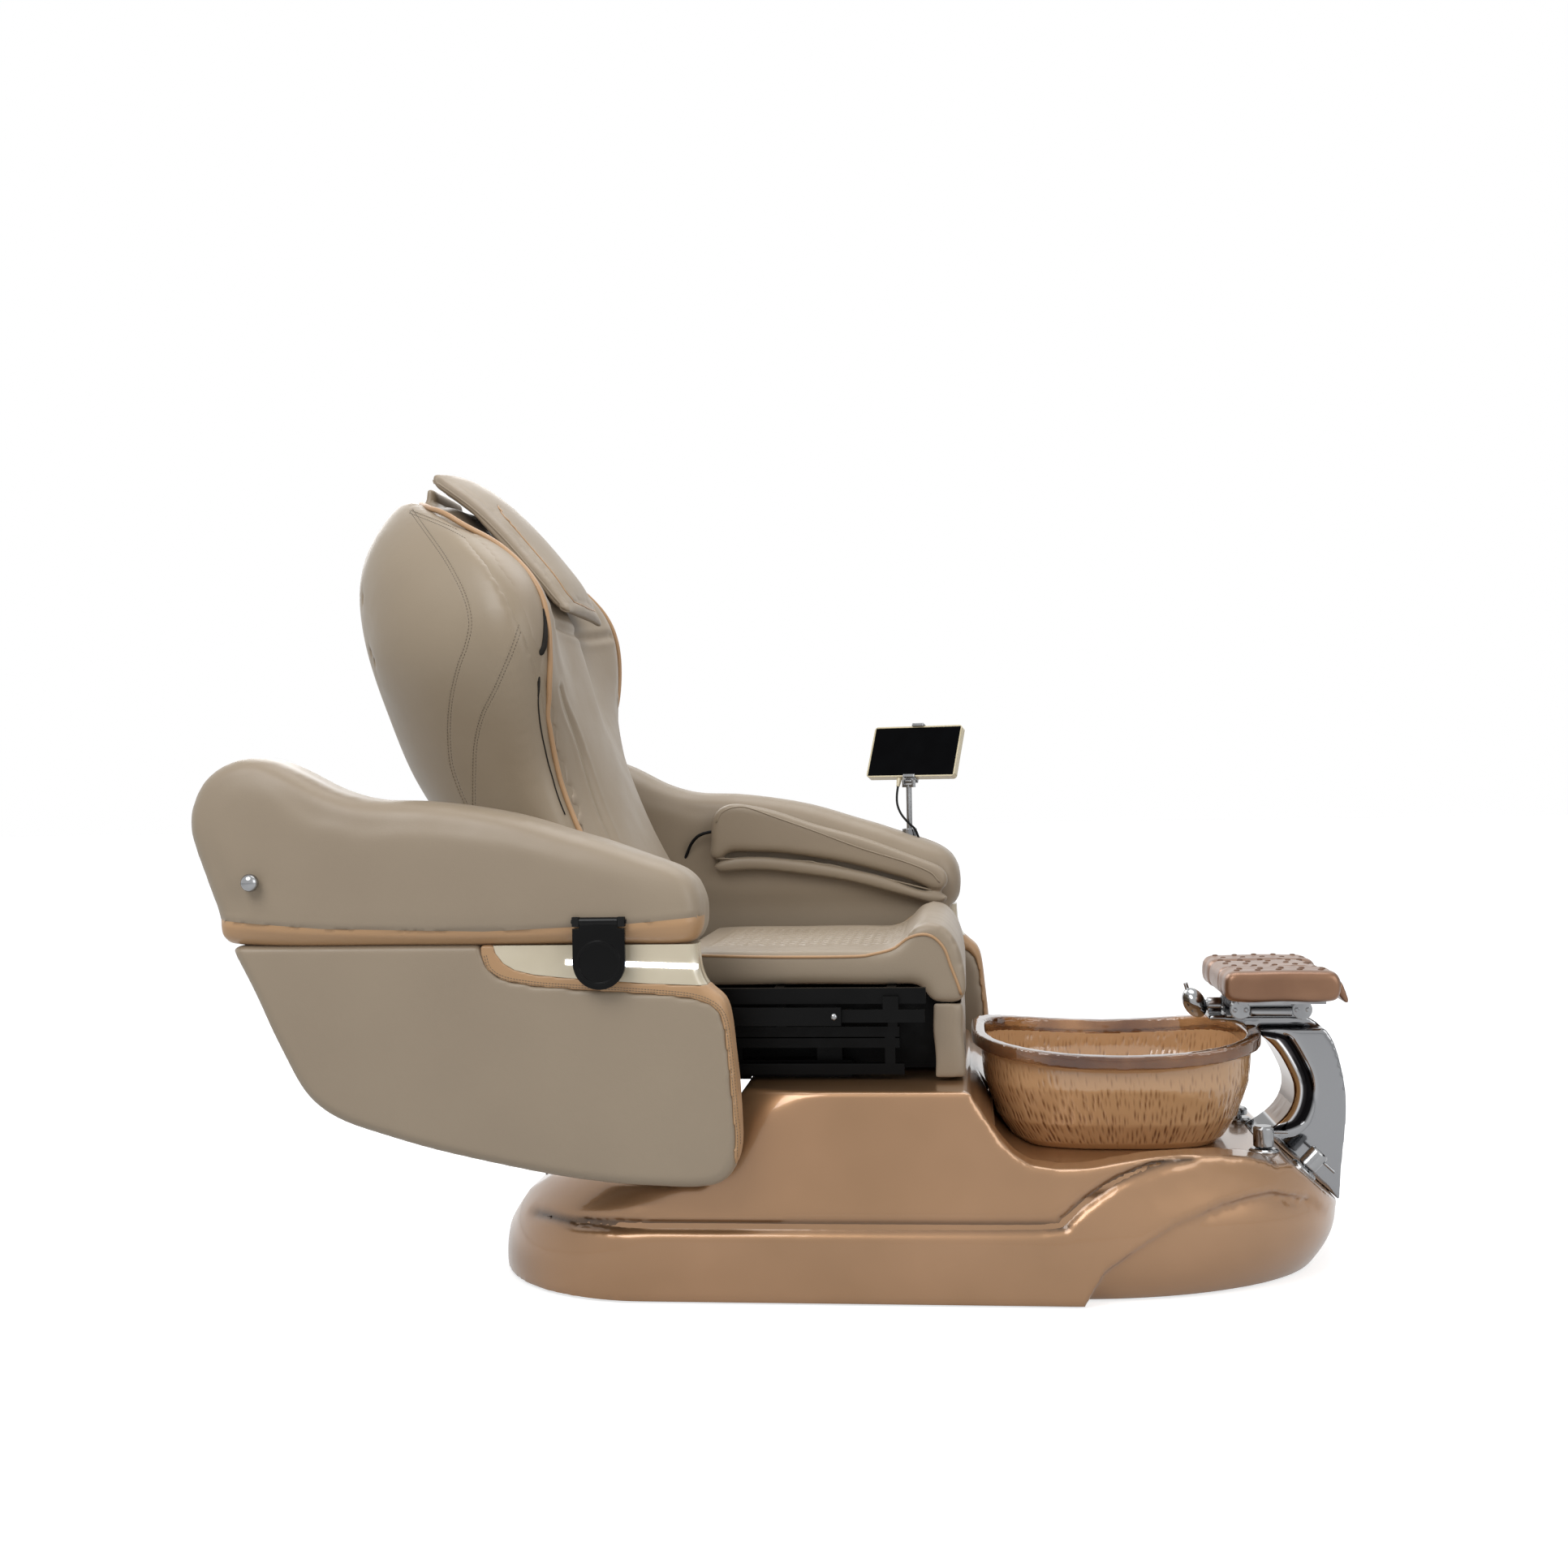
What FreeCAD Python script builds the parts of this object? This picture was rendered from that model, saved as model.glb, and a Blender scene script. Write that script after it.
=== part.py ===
import FreeCAD, Part
import Sketcher
import math
import os
import re
from types import SimpleNamespace

# Pedicure spa chair.  Millimetres.  +X runs from the seat to the foot bowl, +Y to the sitter's left,
# +Z up.  The origin lies on the floor, on the symmetry plane, below the middle of the base.
# The right arm is drawn slid back, the left arm slid home.

V = FreeCAD.Vector

SIZES = [
    # base shell
    ("base_half_width", 397, "half width of the base at the floor"),
    ("base_rear", 665, "rear tip behind the origin"),
    ("base_front", 690, "front tip before the origin"),
    ("base_wall", 8, "wall of the moulded shell"),
    ("rear_bend", 260, "length of the rounded rear corners"),
    ("rear_flat", 100, "half width of the flat at the rear"),
    ("pod_start", 250, "where the front pod begins"),
    ("pod_floor_half", 358, "half width of the front pod at the floor"),
    ("pod_floor_tuck", 42, "how far the pod's foot lies behind its tip"),
    ("front_flat", 60, "half width of the flat at the front"),
    ("groove_depth", 5, "depth of the side groove"),
    ("rim_band", 60, "width of the raised edge beside the bowl"),
    ("rear_deck_height", 172, "height of the rear deck"),
    ("deck_height", 312, "height of the seat deck"),
    ("deck_rear", 245, "rear edge of the seat deck behind the origin"),
    ("deck_front", 101, "front edge of the seat deck"),
    ("deck_half_width", 362, "half width of the seat deck"),
    ("valley_height", 186, "height of the floor below the bowl"),
    ("slope_start", 590, "where the dome turns down to the front"),
    ("slope_drop", 102, "how far the front slope falls to the nose"),
    # rails, actuator and steel inside the base
    ("frame_rear", 175, "rear end of the base frame behind the origin"),
    ("frame_half_width", 220, "half spacing of the base frame's beams"),
    ("frame_tube", 40, "side of the base frame's square tube"),
    ("foot_radius", 24, "radius of a levelling foot"),
    ("foot_height", 14, "height of a levelling foot"),
    ("rail_half_spacing", 200, "half spacing of the seat rails"),
    ("rail_width", 26, "width of a seat rail"),
    ("rail_height", 26, "height of a seat rail"),
    ("rail_rear", 420, "rear end of the seat rails behind the origin"),
    ("rail_front", 84, "front end of the seat rails behind the origin"),
    ("screw_radius", 8, "radius of the lead screw"),
    ("screw_height", 24, "lead screw above the deck"),
    ("motor_length", 90, "length of the slide motor"),
    ("motor_size", 52, "side of the slide motor"),
    # bowl
    ("bowl_rear", 106, "rear edge of the bowl rim"),
    ("bowl_front", 577, "front edge of the bowl rim"),
    ("bowl_half_width", 232, "half width of the bowl rim"),
    ("bowl_rim_height", 345, "rim height at the middle of the sides"),
    ("bowl_rim_rise", 24, "how much higher the rim is at its ends"),
    ("bowl_rim_band", 22, "height of the clear rim band"),
    ("bowl_rim_reach", 10, "how far the rim stands out of the body"),
    ("bowl_taper", 62, "how much narrower the bowl is at its foot"),
    ("bowl_wall", 9, "wall of the glass bowl"),
    ("drain_radius", 30, "radius of the drain flange"),
    ("drain_bore", 21, "radius of the drain hole"),
    ("jet_radius", 38, "radius of the jet housing"),
    ("jet_depth", 26, "depth of the jet housing"),
    ("jet_height", 252, "height of the jet's axis"),
    # column, footrest, sprayer, valves
    ("column_half_width", 66, "half width of the column"),
    ("column_neck_half", 34, "half width of the column's upper arm"),
    ("column_top", 384, "top of the column"),
    ("column_tip", 498, "rear end of the column's upper arm"),
    ("bracket_plate", 3, "plate of the footrest bracket"),
    ("bracket_half", 50, "inside half width of the bracket's cheeks"),
    ("bracket_rise", 13, "footrest pivot above the column top"),
    ("pivot_x", 545, "footrest pivot"),
    ("lock_x", 644, "front cross tube of the bracket"),
    ("disc_radius", 16, "radius of the bracket's end discs"),
    ("pin_radius", 6, "radius of the footrest pin"),
    ("pin_clearance", 0.06, "radial clearance of a turning pin"),
    ("footrest_rear", 511, "rear end of the footrest"),
    ("footrest_front", 690, "front end of the outer footrest pads"),
    ("footrest_lip", 722, "front end of the middle pad's lip"),
    ("footrest_half", 150, "half width of the footrest"),
    ("footrest_mid_half", 52, "half width of the middle pad"),
    ("footrest_slit", 3, "slit between footrest pads"),
    ("footrest_low", 420, "underside of the footrest"),
    ("footrest_high", 468, "top of the footrest"),
    ("sprayer_radius", 9, "radius of the sprayer's neck"),
    ("sprayer_head", 24, "radius of the sprayer's head"),
    ("valve_radius", 16, "radius of a valve handle"),
    ("valve_height", 34, "height of a valve handle"),
    ("valve_flange", 23, "radius of a valve's flange"),
    # seat
    ("seat_half_width", 262, "half width of the seat cushion"),
    ("seat_rear", 372, "rear end of the seat cushion behind the origin"),
    ("seat_front", 98, "front of the seat bolster"),
    ("seat_frame_depth", 24, "depth of the seat frame"),
    ("seat_high", 516, "top of the seat cushion"),
    ("bolster_high", 560, "top of the front bolster"),
    ("seat_frame_low", 438, "underside of the seat frame"),
    ("seat_frame_half", 300, "half width of the seat frame"),
    ("seat_frame_front", 36, "front end of the seat frame"),
    ("seat_frame_rear", 430, "rear end of the seat frame behind the origin"),
    ("frame_bar", 15, "width of a seat frame bar"),
    ("carriage_half", 250, "half width of the carriage"),
    ("carriage_high", 396, "top of the carriage"),
    ("apron_half_width", 258, "half width of the leather apron"),
    ("apron_depth", 48, "how far the apron's sides turn back"),
    ("apron_thick", 6, "thickness of the padded apron"),
    ("soft_gap", 0.3, "clearance of soft pieces"),
    # arms
    ("arm_travel", 380, "how far an arm slides back"),
    ("arm_inner", 325, "inner face of an arm"),
    ("arm_outer", 460, "outer face of an arm"),
    ("arm_low", 545, "underside of an arm's upper pod"),
    ("arm_stripe", 568, "top of the stripe on an arm"),
    ("arm_round", 24, "rounding of an arm's edges"),
    ("pod_inner", 385, "inner face of an arm's lower pod"),
    ("pod_outer", 450, "outer face of an arm's lower pod"),
    ("pod_round", 12, "rounding of the lower pod's edges"),
    ("skirt_low", 470, "lower edge of an arm's inner skirt"),
    ("skirt_thick", 20, "thickness of an arm's inner skirt"),
    ("rail_mid_height", 420, "height of the arm rails"),
    ("rail_thick", 8, "thickness of an arm rail member"),
    ("rail_narrow", 20, "height of the outer and inner rail members"),
    ("rail_wide", 28, "height of the middle rail member"),
    ("rail_length", 420, "length of a rail member"),
    ("rail_run", 0.3, "running clearance between rail members"),
    ("sleeve_inner", 285, "inner face of the forearm sleeve"),
    ("led_length", 198, "length of the light strip"),
    ("led_height", 7, "height of the light strip"),
    ("led_depth", 4, "depth of the light strip"),
    ("hook_x", 583, "coat hook behind the origin, arm home"),
    ("hook_height", 644, "height of the coat hook"),
    ("hook_ball", 10, "radius of the hook's ball"),
    ("cup_width", 78, "width of the cup tray"),
    ("cup_x", 58, "middle of the cup tray behind the origin, arm home"),
    ("cup_pivot", 581, "height of the cup tray's pin"),
    ("cup_length", 100, "length of the cup tray below its pin"),
    ("cup_thick", 8, "thickness of the cup tray"),
    ("cup_pin", 3, "radius of the cup tray's pin"),
    # tablet
    ("tablet_x", -5, "tablet post on the left arm"),
    ("tablet_y", 396, "tablet post off the middle plane"),
    ("post_radius", 5.5, "radius of the tablet post"),
    ("post_low", 662, "lower end of the tablet post"),
    ("post_high", 772, "upper end of the tablet post"),
    ("collar_radius", 14, "radius of the post's collar"),
    ("collar_high", 690, "top of the post's collar"),
    ("tablet_width", 186, "width of the tablet"),
    ("tablet_height", 108, "height of the tablet"),
    ("tablet_thick", 14, "thickness of the tablet"),
    ("tablet_yaw", 23.4, "turn of the tablet towards the sitter"),
    ("tablet_lean", 24.8, "lean of the tablet"),
    ("cord_radius", 2.2, "radius of the tablet cord"),
    # backrest
    ("hinge_x", 388, "recline hinge behind the origin"),
    ("hinge_z", 436, "height of the recline hinge"),
    ("hinge_radius", 10, "radius of the hinge pin"),
    ("shell_wall", 12, "wall of the backrest shell"),
    ("seam_gap", 0.2, "gap along a seam between two pieces"),
    ("track_half", 75, "half spacing of the massage tracks"),
    ("roller_radius", 14, "radius of a massage roller"),
    ("back_pad_depth", 50, "depth of the backrest's pad at the middle"),
    ("back_lean", 23.3, "lean of the backrest in degrees"),
    ("leg_inner", 196, "inside half width of the backrest's legs"),
    ("leg_width", 24, "width of a backrest leg"),
    ("motor_radius", 20, "radius of the recline motor"),
    ("motor_shaft", 6, "radius of the recline motor's shaft"),
    ("window_half", 66, "half width of the opening for the rollers"),
    ("window_low", 40, "lower end of the opening for the rollers"),
    ("window_high", 540, "upper end of the opening for the rollers"),
    ("hose_radius", 3, "radius of the sleeve's air hose"),
    ("pillow_half", 140, "half width of the pillow"),
    ("pillow_round", 5, "rounding of the pillow's sides"),
]

doc = FreeCAD.newDocument("SpaChair")
sheet = doc.addObject("Spreadsheet::Sheet", "Sizes")
for row, (alias, value, meaning) in enumerate(SIZES, 1):
    sheet.set(f"A{row}", meaning)
    sheet.set(f"B{row}", str(value))
    sheet.setAlias(f"B{row}", alias)
doc.recompute()
S = SimpleNamespace(**{alias: float(sheet.get(alias)) for alias, _, _ in SIZES})
ALIASES = {alias for alias, _, _ in SIZES}
nodes = {}


# ---------------------------------------------------------------- drawing tools

def on_sheet(text):
    """The same sum with each size name read from the sheet."""
    return re.sub(r"[a-z][a-z_0-9]*", lambda w: "Sizes." + w.group() if w.group() in ALIASES else w.group(),
                  text)


def bind(thing, **sums):
    """Bind properties to the sheet; a double underscore stands for a dot."""
    for name, text in sums.items():
        thing.setExpression(name.replace("__", "."), on_sheet(text))
    return thing


def named(thing, node):
    """Make an object of the document a sub-part."""
    thing.Label = node
    nodes[node] = thing
    return thing


def box(label, x0, x1, y0, y1, z0, z1):
    """A block between six planes, each a sum of sizes."""
    block = doc.addObject("Part::Box", label)
    return bind(block, Length=f"({x1}) - ({x0})", Width=f"({y1}) - ({y0})", Height=f"({z1}) - ({z0})",
                Placement__Base__x=x0, Placement__Base__y=y0, Placement__Base__z=z0)


def rod(label, radius, length, x, y, z, axis="z"):
    """A cylinder from a point along an axis, each a sum of sizes."""
    turns = {"z": FreeCAD.Rotation(), "x": FreeCAD.Rotation(V(0, 1, 0), 90),
             "y": FreeCAD.Rotation(V(1, 0, 0), -90)}
    bar = doc.addObject("Part::Cylinder", label)
    bar.Placement = FreeCAD.Placement(V(), turns[axis])
    return bind(bar, Radius=radius, Height=length,
                Placement__Base__x=x, Placement__Base__y=y, Placement__Base__z=z)


def fuse(label, things):
    union = doc.addObject("Part::MultiFuse", label)
    union.Shapes = things
    return union


def cut(label, base, tool):
    rest = doc.addObject("Part::Cut", label)
    rest.Base = base
    rest.Tool = tool
    return rest


def group(label, things):
    """Separate solids in one node."""
    several = doc.addObject("Part::Compound", label)
    several.Links = things
    return several


def computed(node, shape):
    """A sub-part whose shape is worked out below from the sheet's sizes."""
    thing = doc.addObject("Part::Feature", node)
    thing.Shape = shape
    return named(thing, node)


def made(node):
    """The finished shape of a node that is already drawn."""
    doc.recompute()
    return nodes[node].Shape


def smooth_wire(points, y):
    """A closed curve through (x, z) points in the plane at y."""
    curve = Part.BSplineCurve()
    curve.interpolate(Points=[V(x, y, z) for x, z in points], PeriodicFlag=True)
    return Part.Wire([curve.toShape()])


def inset(points, depth):
    """Move a closed outline inwards by depth along its own normals."""
    area = sum(a[0] * b[1] - b[0] * a[1] for a, b in zip(points, points[1:] + points[:1]))
    turn = 1 if area > 0 else -1
    moved = []
    for before, here, after in zip(points[-1:] + points[:-1], points, points[1:] + points[:1]):
        along = V(after[0] - before[0], after[1] - before[1], 0)
        along.normalize()
        moved.append((here[0] - turn * along.y * depth, here[1] + turn * along.x * depth))
    return moved


def pad_levels(near, far, bend):
    """Planes across a pad and how far its outline draws in at each, for rounded edges."""
    return [(near, bend), (near + 0.3 * bend, 0.35 * bend), (near + bend, 0), ((near + far) / 2, 0),
            (far - bend, 0), (far - 0.3 * bend, 0.35 * bend), (far, bend)]


def pad(points, levels):
    """A padded solid lofted through its outline at each level."""
    solid = Part.makeLoft([smooth_wire(inset(points, depth), y) for y, depth in levels], True, False)
    if solid.Volume < 0:
        solid.reverse()
    return solid


def extruded(points, y0, y1):
    """A solid with a smooth side outline, from y0 to y1."""
    return Part.Face(smooth_wire(points, y0)).extrude(V(0, y1 - y0, 0))


def prism(points, y0, y1):
    """A straight-sided block over a polygon of (x, z) points, from y0 to y1."""
    corners = [V(x, y0, z) for x, z in points]
    return Part.Face(Part.makePolygon(corners + corners[:1])).extrude(V(0, y1 - y0, 0))


def revolved(profile, origin, axis):
    """A turned solid: (radius, height) pairs spun about an axis through an origin."""
    corners = [V(radius, 0, height) for radius, height in profile]
    face = Part.Face(Part.makePolygon(corners + corners[:1]))
    solid = face.revolve(V(), V(0, 0, 1), 360)
    solid.Placement = FreeCAD.Placement(origin, FreeCAD.Rotation(V(0, 0, 1), axis))
    return solid


def body(node):
    """A PartDesign body and its origin planes by role."""
    thing = named(doc.addObject("PartDesign::Body", node), node)
    return thing, {plane.Role: plane for plane in thing.Origin.OriginFeatures}


def sketch_on(thing, plane, name):
    drawing = thing.newObject("Sketcher::SketchObject", name)
    drawing.AttachmentSupport = [(plane, "")]
    drawing.MapMode = "FlatFace"
    return drawing


def circle(drawing, radius, x="0", y="0"):
    """A circle whose radius and centre are sums of sizes."""
    place = drawing.addGeometry(Part.Circle(V(1, 1, 0), V(0, 0, 1), 5), False)
    hold = drawing.addConstraint(Sketcher.Constraint("Radius", place, 5))
    drawing.setExpression(f"Constraints[{hold}]", on_sheet(radius))
    for kind, where in (("DistanceX", x), ("DistanceY", y)):
        hold = drawing.addConstraint(Sketcher.Constraint(kind, -1, 1, place, 3, 1))
        drawing.setExpression(f"Constraints[{hold}]", on_sheet(where))


def rectangle(drawing, x0, x1, y0, y1):
    """A rectangle whose sides are sums of sizes."""
    corners = [V(1, 1, 0), V(2, 1, 0), V(2, 2, 0), V(1, 2, 0)]
    first = drawing.GeometryCount
    for here, after in zip(corners, corners[1:] + corners[:1]):
        drawing.addGeometry(Part.LineSegment(here, after), False)
    for side in range(4):
        drawing.addConstraint(Sketcher.Constraint("Coincident", first + side, 2, first + (side + 1) % 4, 1))
    for side, kind in enumerate(("Horizontal", "Vertical", "Horizontal", "Vertical")):
        drawing.addConstraint(Sketcher.Constraint(kind, first + side))
    for line, end, kind, where in ((0, 1, "DistanceX", x0), (0, 1, "DistanceY", y0),
                                   (2, 1, "DistanceX", x1), (2, 1, "DistanceY", y1)):
        hold = drawing.addConstraint(Sketcher.Constraint(kind, -1, 1, first + line, end, 1))
        drawing.setExpression(f"Constraints[{hold}]", on_sheet(where))


# ---------------------------------------------------------------- base

def bend(x0, y0, x1, y1):
    """A quarter of an ellipse in plan, leaving (x0, y0) along Y and reaching (x1, y1) along X."""
    steps = [math.radians(15 * k) for k in range(7)]
    return [(x1 + (x0 - x1) * math.cos(a), y0 + (y1 - y0) * math.sin(a)) for a in steps]


def plan(z, rear, front, half, start, nose):
    """The base's outline at a height: flat ends, rounded corners and straight sides."""
    rear_end = -rear + S.rear_bend
    corners = [bend(-rear, -S.rear_flat, rear_end, -half), bend(front, -nose, start, -half)[::-1],
               bend(front, nose, start, half), bend(-rear, S.rear_flat, rear_end, half)[::-1]]
    edges = []
    for corner, after in zip(corners, corners[1:] + corners[:1]):
        curve = Part.BSplineCurve()
        curve.interpolate([V(x, y, z) for x, y in corner])
        edges.append(curve.toShape())
        edges.append(Part.makeLine(V(*corner[-1], z), V(*after[0], z)))
    return Part.Wire(edges)


def hull(draw_in, floor):
    """The outer form of the base, drawn in by a wall, down to a floor height."""
    half = S.base_half_width - draw_in
    deck_half = S.deck_half_width - draw_in
    rear = S.base_rear - draw_in
    front = S.base_front - draw_in
    deck = S.deck_height - draw_in
    rise = (deck - floor) / 6
    levels = [(0, 0, 0), (1, 2, 1), (2, 22, 4), (3, 70, 14), (4, 150, 22), (5, 220, 28),
              (6, 300, half - deck_half)]
    wires = [plan(floor + step * rise, rear - tuck, front - 0.02 * tuck, half - lean, S.pod_start,
                  S.front_flat)
             for step, tuck, lean in levels]
    return Part.makeLoft(wires, True, False)


def roofline(draw_in):
    """The side outline of the base from its rear nose over both decks to its front nose."""
    slope_end = S.base_front + 10
    nose = S.valley_height - S.slope_drop
    outline = [(-S.base_rear - 10, 30), (-S.base_rear + 12, 70), (-S.base_rear + 50, 126),
               (-S.base_rear + 95, 156), (-S.base_rear + 150, S.rear_deck_height),
               (-S.deck_rear - 60, S.rear_deck_height + 1), (-S.deck_rear - 34, S.rear_deck_height + 22),
               (-S.deck_rear - 18, S.rear_deck_height + 66), (-S.deck_rear - 12, S.deck_height - 22),
               (-S.deck_rear, S.deck_height), (S.deck_front, S.deck_height),
               (S.deck_front + 10, S.deck_height - 26), (S.deck_front + 32, S.valley_height + 52),
               (S.deck_front + 62, S.valley_height + 18), (S.deck_front + 100, S.valley_height),
               (S.slope_start - 130, S.valley_height), (S.slope_start, S.valley_height),
               (slope_end, nose), (slope_end, -1), (-S.base_rear - 10, -1)]
    return [(x, z - draw_in) if z > 0 else (x, z) for x, z in outline]


def below_crease():
    """The region in side view below the crease that sweeps over the front pod."""
    return [(S.pod_start + 14, -2), (S.pod_start + 44, 50), (S.pod_start + 92, 85), (S.pod_start + 152, 119),
            (S.pod_start + 230, 143), (S.pod_start + 300, 150), (S.pod_start + 372, 128),
            (S.base_front - 30, 96), (S.base_front + 20, 84), (S.base_front + 20, -2)]


def pod(draw_in):
    """The front pod below the crease: a bulge that tucks in at its foot."""
    full = S.base_half_width - draw_in
    foot = S.pod_floor_half - draw_in
    front = S.base_front - draw_in
    floor = -1 if draw_in else 0
    levels = [(floor, S.pod_floor_tuck, foot), (26, 22, (foot + full) / 2 - 4), (52, 8, full - 15),
              (78, 2, full - 11),
              (104, 4, full - 10), (130, 16, full - 13), (156, 36, full - 20)]
    wires = [plan(z, S.rear_bend, front - tuck, half, S.pod_start - 20, S.front_flat) for z, tuck,
             half in levels]
    reach = S.base_half_width + 10
    ahead = Part.makeBox(S.base_front, 2 * reach, 200, V(S.pod_start - 10, -reach, -2))
    return Part.makeLoft(wires, True, False).common(ahead)


def side_rim(draw_in):
    """The raised edge along both sides of the bowl's floor: a band inside the hull under its own line."""
    line = [(94, 300), (104, 303), (116, 287), (130, 264), (148, 239), (166, 220), (190, 205), (230, 199),
            (273, 200), (321, 208), (369, 214), (418, 215), (468, 213), (519, 205), (550, 194), (566, 184),
            (566, 170), (94, 170)]
    reach = S.base_half_width + 10
    under = prism([(x, z - draw_in) for x, z in line], -reach, reach)
    return hull(draw_in, 0).common(under).cut(hull(S.rim_band - draw_in, 0))


def base_form(draw_in):
    """Hull under the roofline, less what lies below the crease, plus the front pod."""
    reach = S.base_half_width + 10
    floor = -1 if draw_in else 0
    under_roof = prism(roofline(draw_in), -reach, reach)
    upper = hull(draw_in, floor).common(under_roof)
    upper = upper.fuse(side_rim(draw_in)).cut(prism(below_crease(), -reach, reach))
    return upper.fuse(pod(draw_in).common(under_roof)).removeSplitter()


def groove():
    """The long groove in both sides of the base, which sweeps up to the front edge."""
    lower = [(-559, 109), (-509, 104), (-434, 101), (-138, 102), (206, 103), (238, 114), (277, 144),
             (331, 177),
             (390, 199), (430, 208)]
    upper = [(426, 216), (367, 209), (308, 188), (260, 158), (230, 135), (206, 127), (-138, 125), (-434, 124),
             (-509, 116)]
    reach = S.base_half_width + 10
    return prism(lower + upper, -reach, reach).cut(hull(S.groove_depth, 0))


def vent_block(shrink, low, high):
    """A rounded slab lying on the rear slope, for the vent panel and its opening."""
    half_long = 34 - shrink
    half_wide = 112 - shrink
    block = Part.makeBox(2 * half_long, 2 * half_wide, high - low, V(-half_long, -half_wide, low))
    upright = [edge for edge in block.Edges if abs(edge.tangentAt(edge.FirstParameter).z) > 0.9]
    block = block.makeFillet(20 - shrink, upright)
    block.Placement = FreeCAD.Placement(V(-S.base_rear + 84, 0, 143), FreeCAD.Rotation(V(0, 1, 0), -26))
    return block


shell = base_form(0).cut(base_form(S.base_wall))
shell = shell.cut(groove()).cut(vent_block(0, -40, 40))
drain_x = (S.bowl_rear + S.bowl_front) / 2
drain_hole = Part.makeCylinder(S.drain_radius, 60, V(drain_x, 0, S.valley_height - 40))
computed("rear_vent_panel", vent_block(S.soft_gap, -S.base_wall, -2))

FRAME_TOP = "deck_height - base_wall"
BEAM_LOW = f"{FRAME_TOP} - frame_tube"
LEG_LOW = "foot_height"


def base_frame():
    """Two beams under the deck, cross bars, and four legs down to the levelling feet."""
    parts = []
    for side, low, high in (("right", "-frame_half_width", "-frame_half_width + frame_tube"),
                            ("left", "frame_half_width - frame_tube", "frame_half_width")):
        parts.append(box(f"beam_{side}", "-frame_rear", "deck_front - 30", low, high, BEAM_LOW,
                         FRAME_TOP))
        for end, x0 in (("rear", "-frame_rear"), ("front", "deck_front - 30 - frame_tube")):
            parts.append(box(f"leg_{side}_{end}", x0, f"{x0} + frame_tube", low, high, LEG_LOW, FRAME_TOP))
    for end, x0 in (("rear", "-frame_rear"), ("front", "deck_front - 30 - frame_tube")):
        parts.append(box(f"cross_{end}", x0, f"{x0} + frame_tube", "-frame_half_width", "frame_half_width",
                         BEAM_LOW, FRAME_TOP))
    half = "frame_tube / 2"
    parts.append(box("cross_middle", f"-{half}", half, "-frame_half_width", "frame_half_width", BEAM_LOW,
                     FRAME_TOP))
    parts.append(box("leg_middle", f"-{half}", half, f"-{half}", half, LEG_LOW, FRAME_TOP))
    return named(fuse("steel_base", parts), "base_frame")


def levelling_feet():
    """One turned foot under each leg."""
    feet = []
    for side in ("-", ""):
        for end, x in (("rear", "-frame_rear + frame_tube / 2"),
                       ("front", "deck_front - 30 - frame_tube / 2")):
            y = f"{side}(frame_half_width - frame_tube / 2)"
            feet.append(rod(f"foot_{end}", "foot_radius", "foot_height", x, y, "0"))
    feet.append(rod("foot_middle", "foot_radius", "foot_height", "0", "0", "0"))
    return named(group("feet", feet), "levelling_feet")


def seat_rails():
    """Two steel rails on the deck that carry the seat."""
    rails = []
    for side, low in (("right", "-rail_half_spacing - rail_width / 2"),
                      ("left", "rail_half_spacing - rail_width / 2")):
        rail = box(f"rail_{side}", "-rail_rear", "-rail_front", low, f"{low} + rail_width",
                   "deck_height", "deck_height + rail_height")
        post = box(f"rail_post_{side}", "-rail_rear", "-rail_rear + frame_tube", low, f"{low} + rail_width",
                   "rear_deck_height + 6", "deck_height")
        rails.append(fuse(f"rail_and_post_{side}", [rail, post]))
    return named(group("rails", rails), "seat_rails")


def slide_actuator():
    """Motor and lead screw that push the seat along its rails."""
    screw = rod("lead_screw", "screw_radius", "rail_rear - rail_front - motor_length",
                "-rail_rear + motor_length", "0", "deck_height + screw_height", "x")
    motor = box("slide_motor", "-rail_rear", "-rail_rear + motor_length", "-motor_size / 2", "motor_size / 2",
                "deck_height + screw_height - 20", "deck_height + screw_height - 20 + 44")
    post = box("motor_post", "-rail_rear + 10", "-rail_rear + 50", "-motor_size / 2", "motor_size / 2",
               "rear_deck_height + 6", "deck_height + screw_height - 20")
    return named(fuse("actuator", [screw, motor, post]), "slide_actuator")


base_frame()
levelling_feet()
seat_rails()
slide_actuator()


# ---------------------------------------------------------------- bowl

MIDDLE = "(bowl_rear + bowl_front) / 2"


def bowl_ring(height, draw_in):
    """The bowl's rounded-square outline at a height, drawn in."""
    half_long = (S.bowl_front - S.bowl_rear) / 2 - draw_in
    half_wide = S.bowl_half_width - draw_in
    points = []
    for step in range(24):
        turn = math.radians(15 * step)
        along = math.copysign(abs(math.cos(turn)) ** 0.62, math.cos(turn))
        across = math.copysign(abs(math.sin(turn)) ** 0.62, math.sin(turn))
        points.append(V(drain_x + half_long * along, half_wide * across, height))
    curve = Part.BSplineCurve()
    curve.interpolate(Points=points, PeriodicFlag=True)
    return Part.Wire([curve.toShape()])


def rim_line(height):
    """The rim's line in side view: a parabola that rises from the middle to both ends."""
    half_long = (S.bowl_front - S.bowl_rear) / 2 + 10
    return [(drain_x + half_long * k / 5, height + S.bowl_rim_rise * (k / 5) ** 2) for k in range(-5, 6)]


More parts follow.
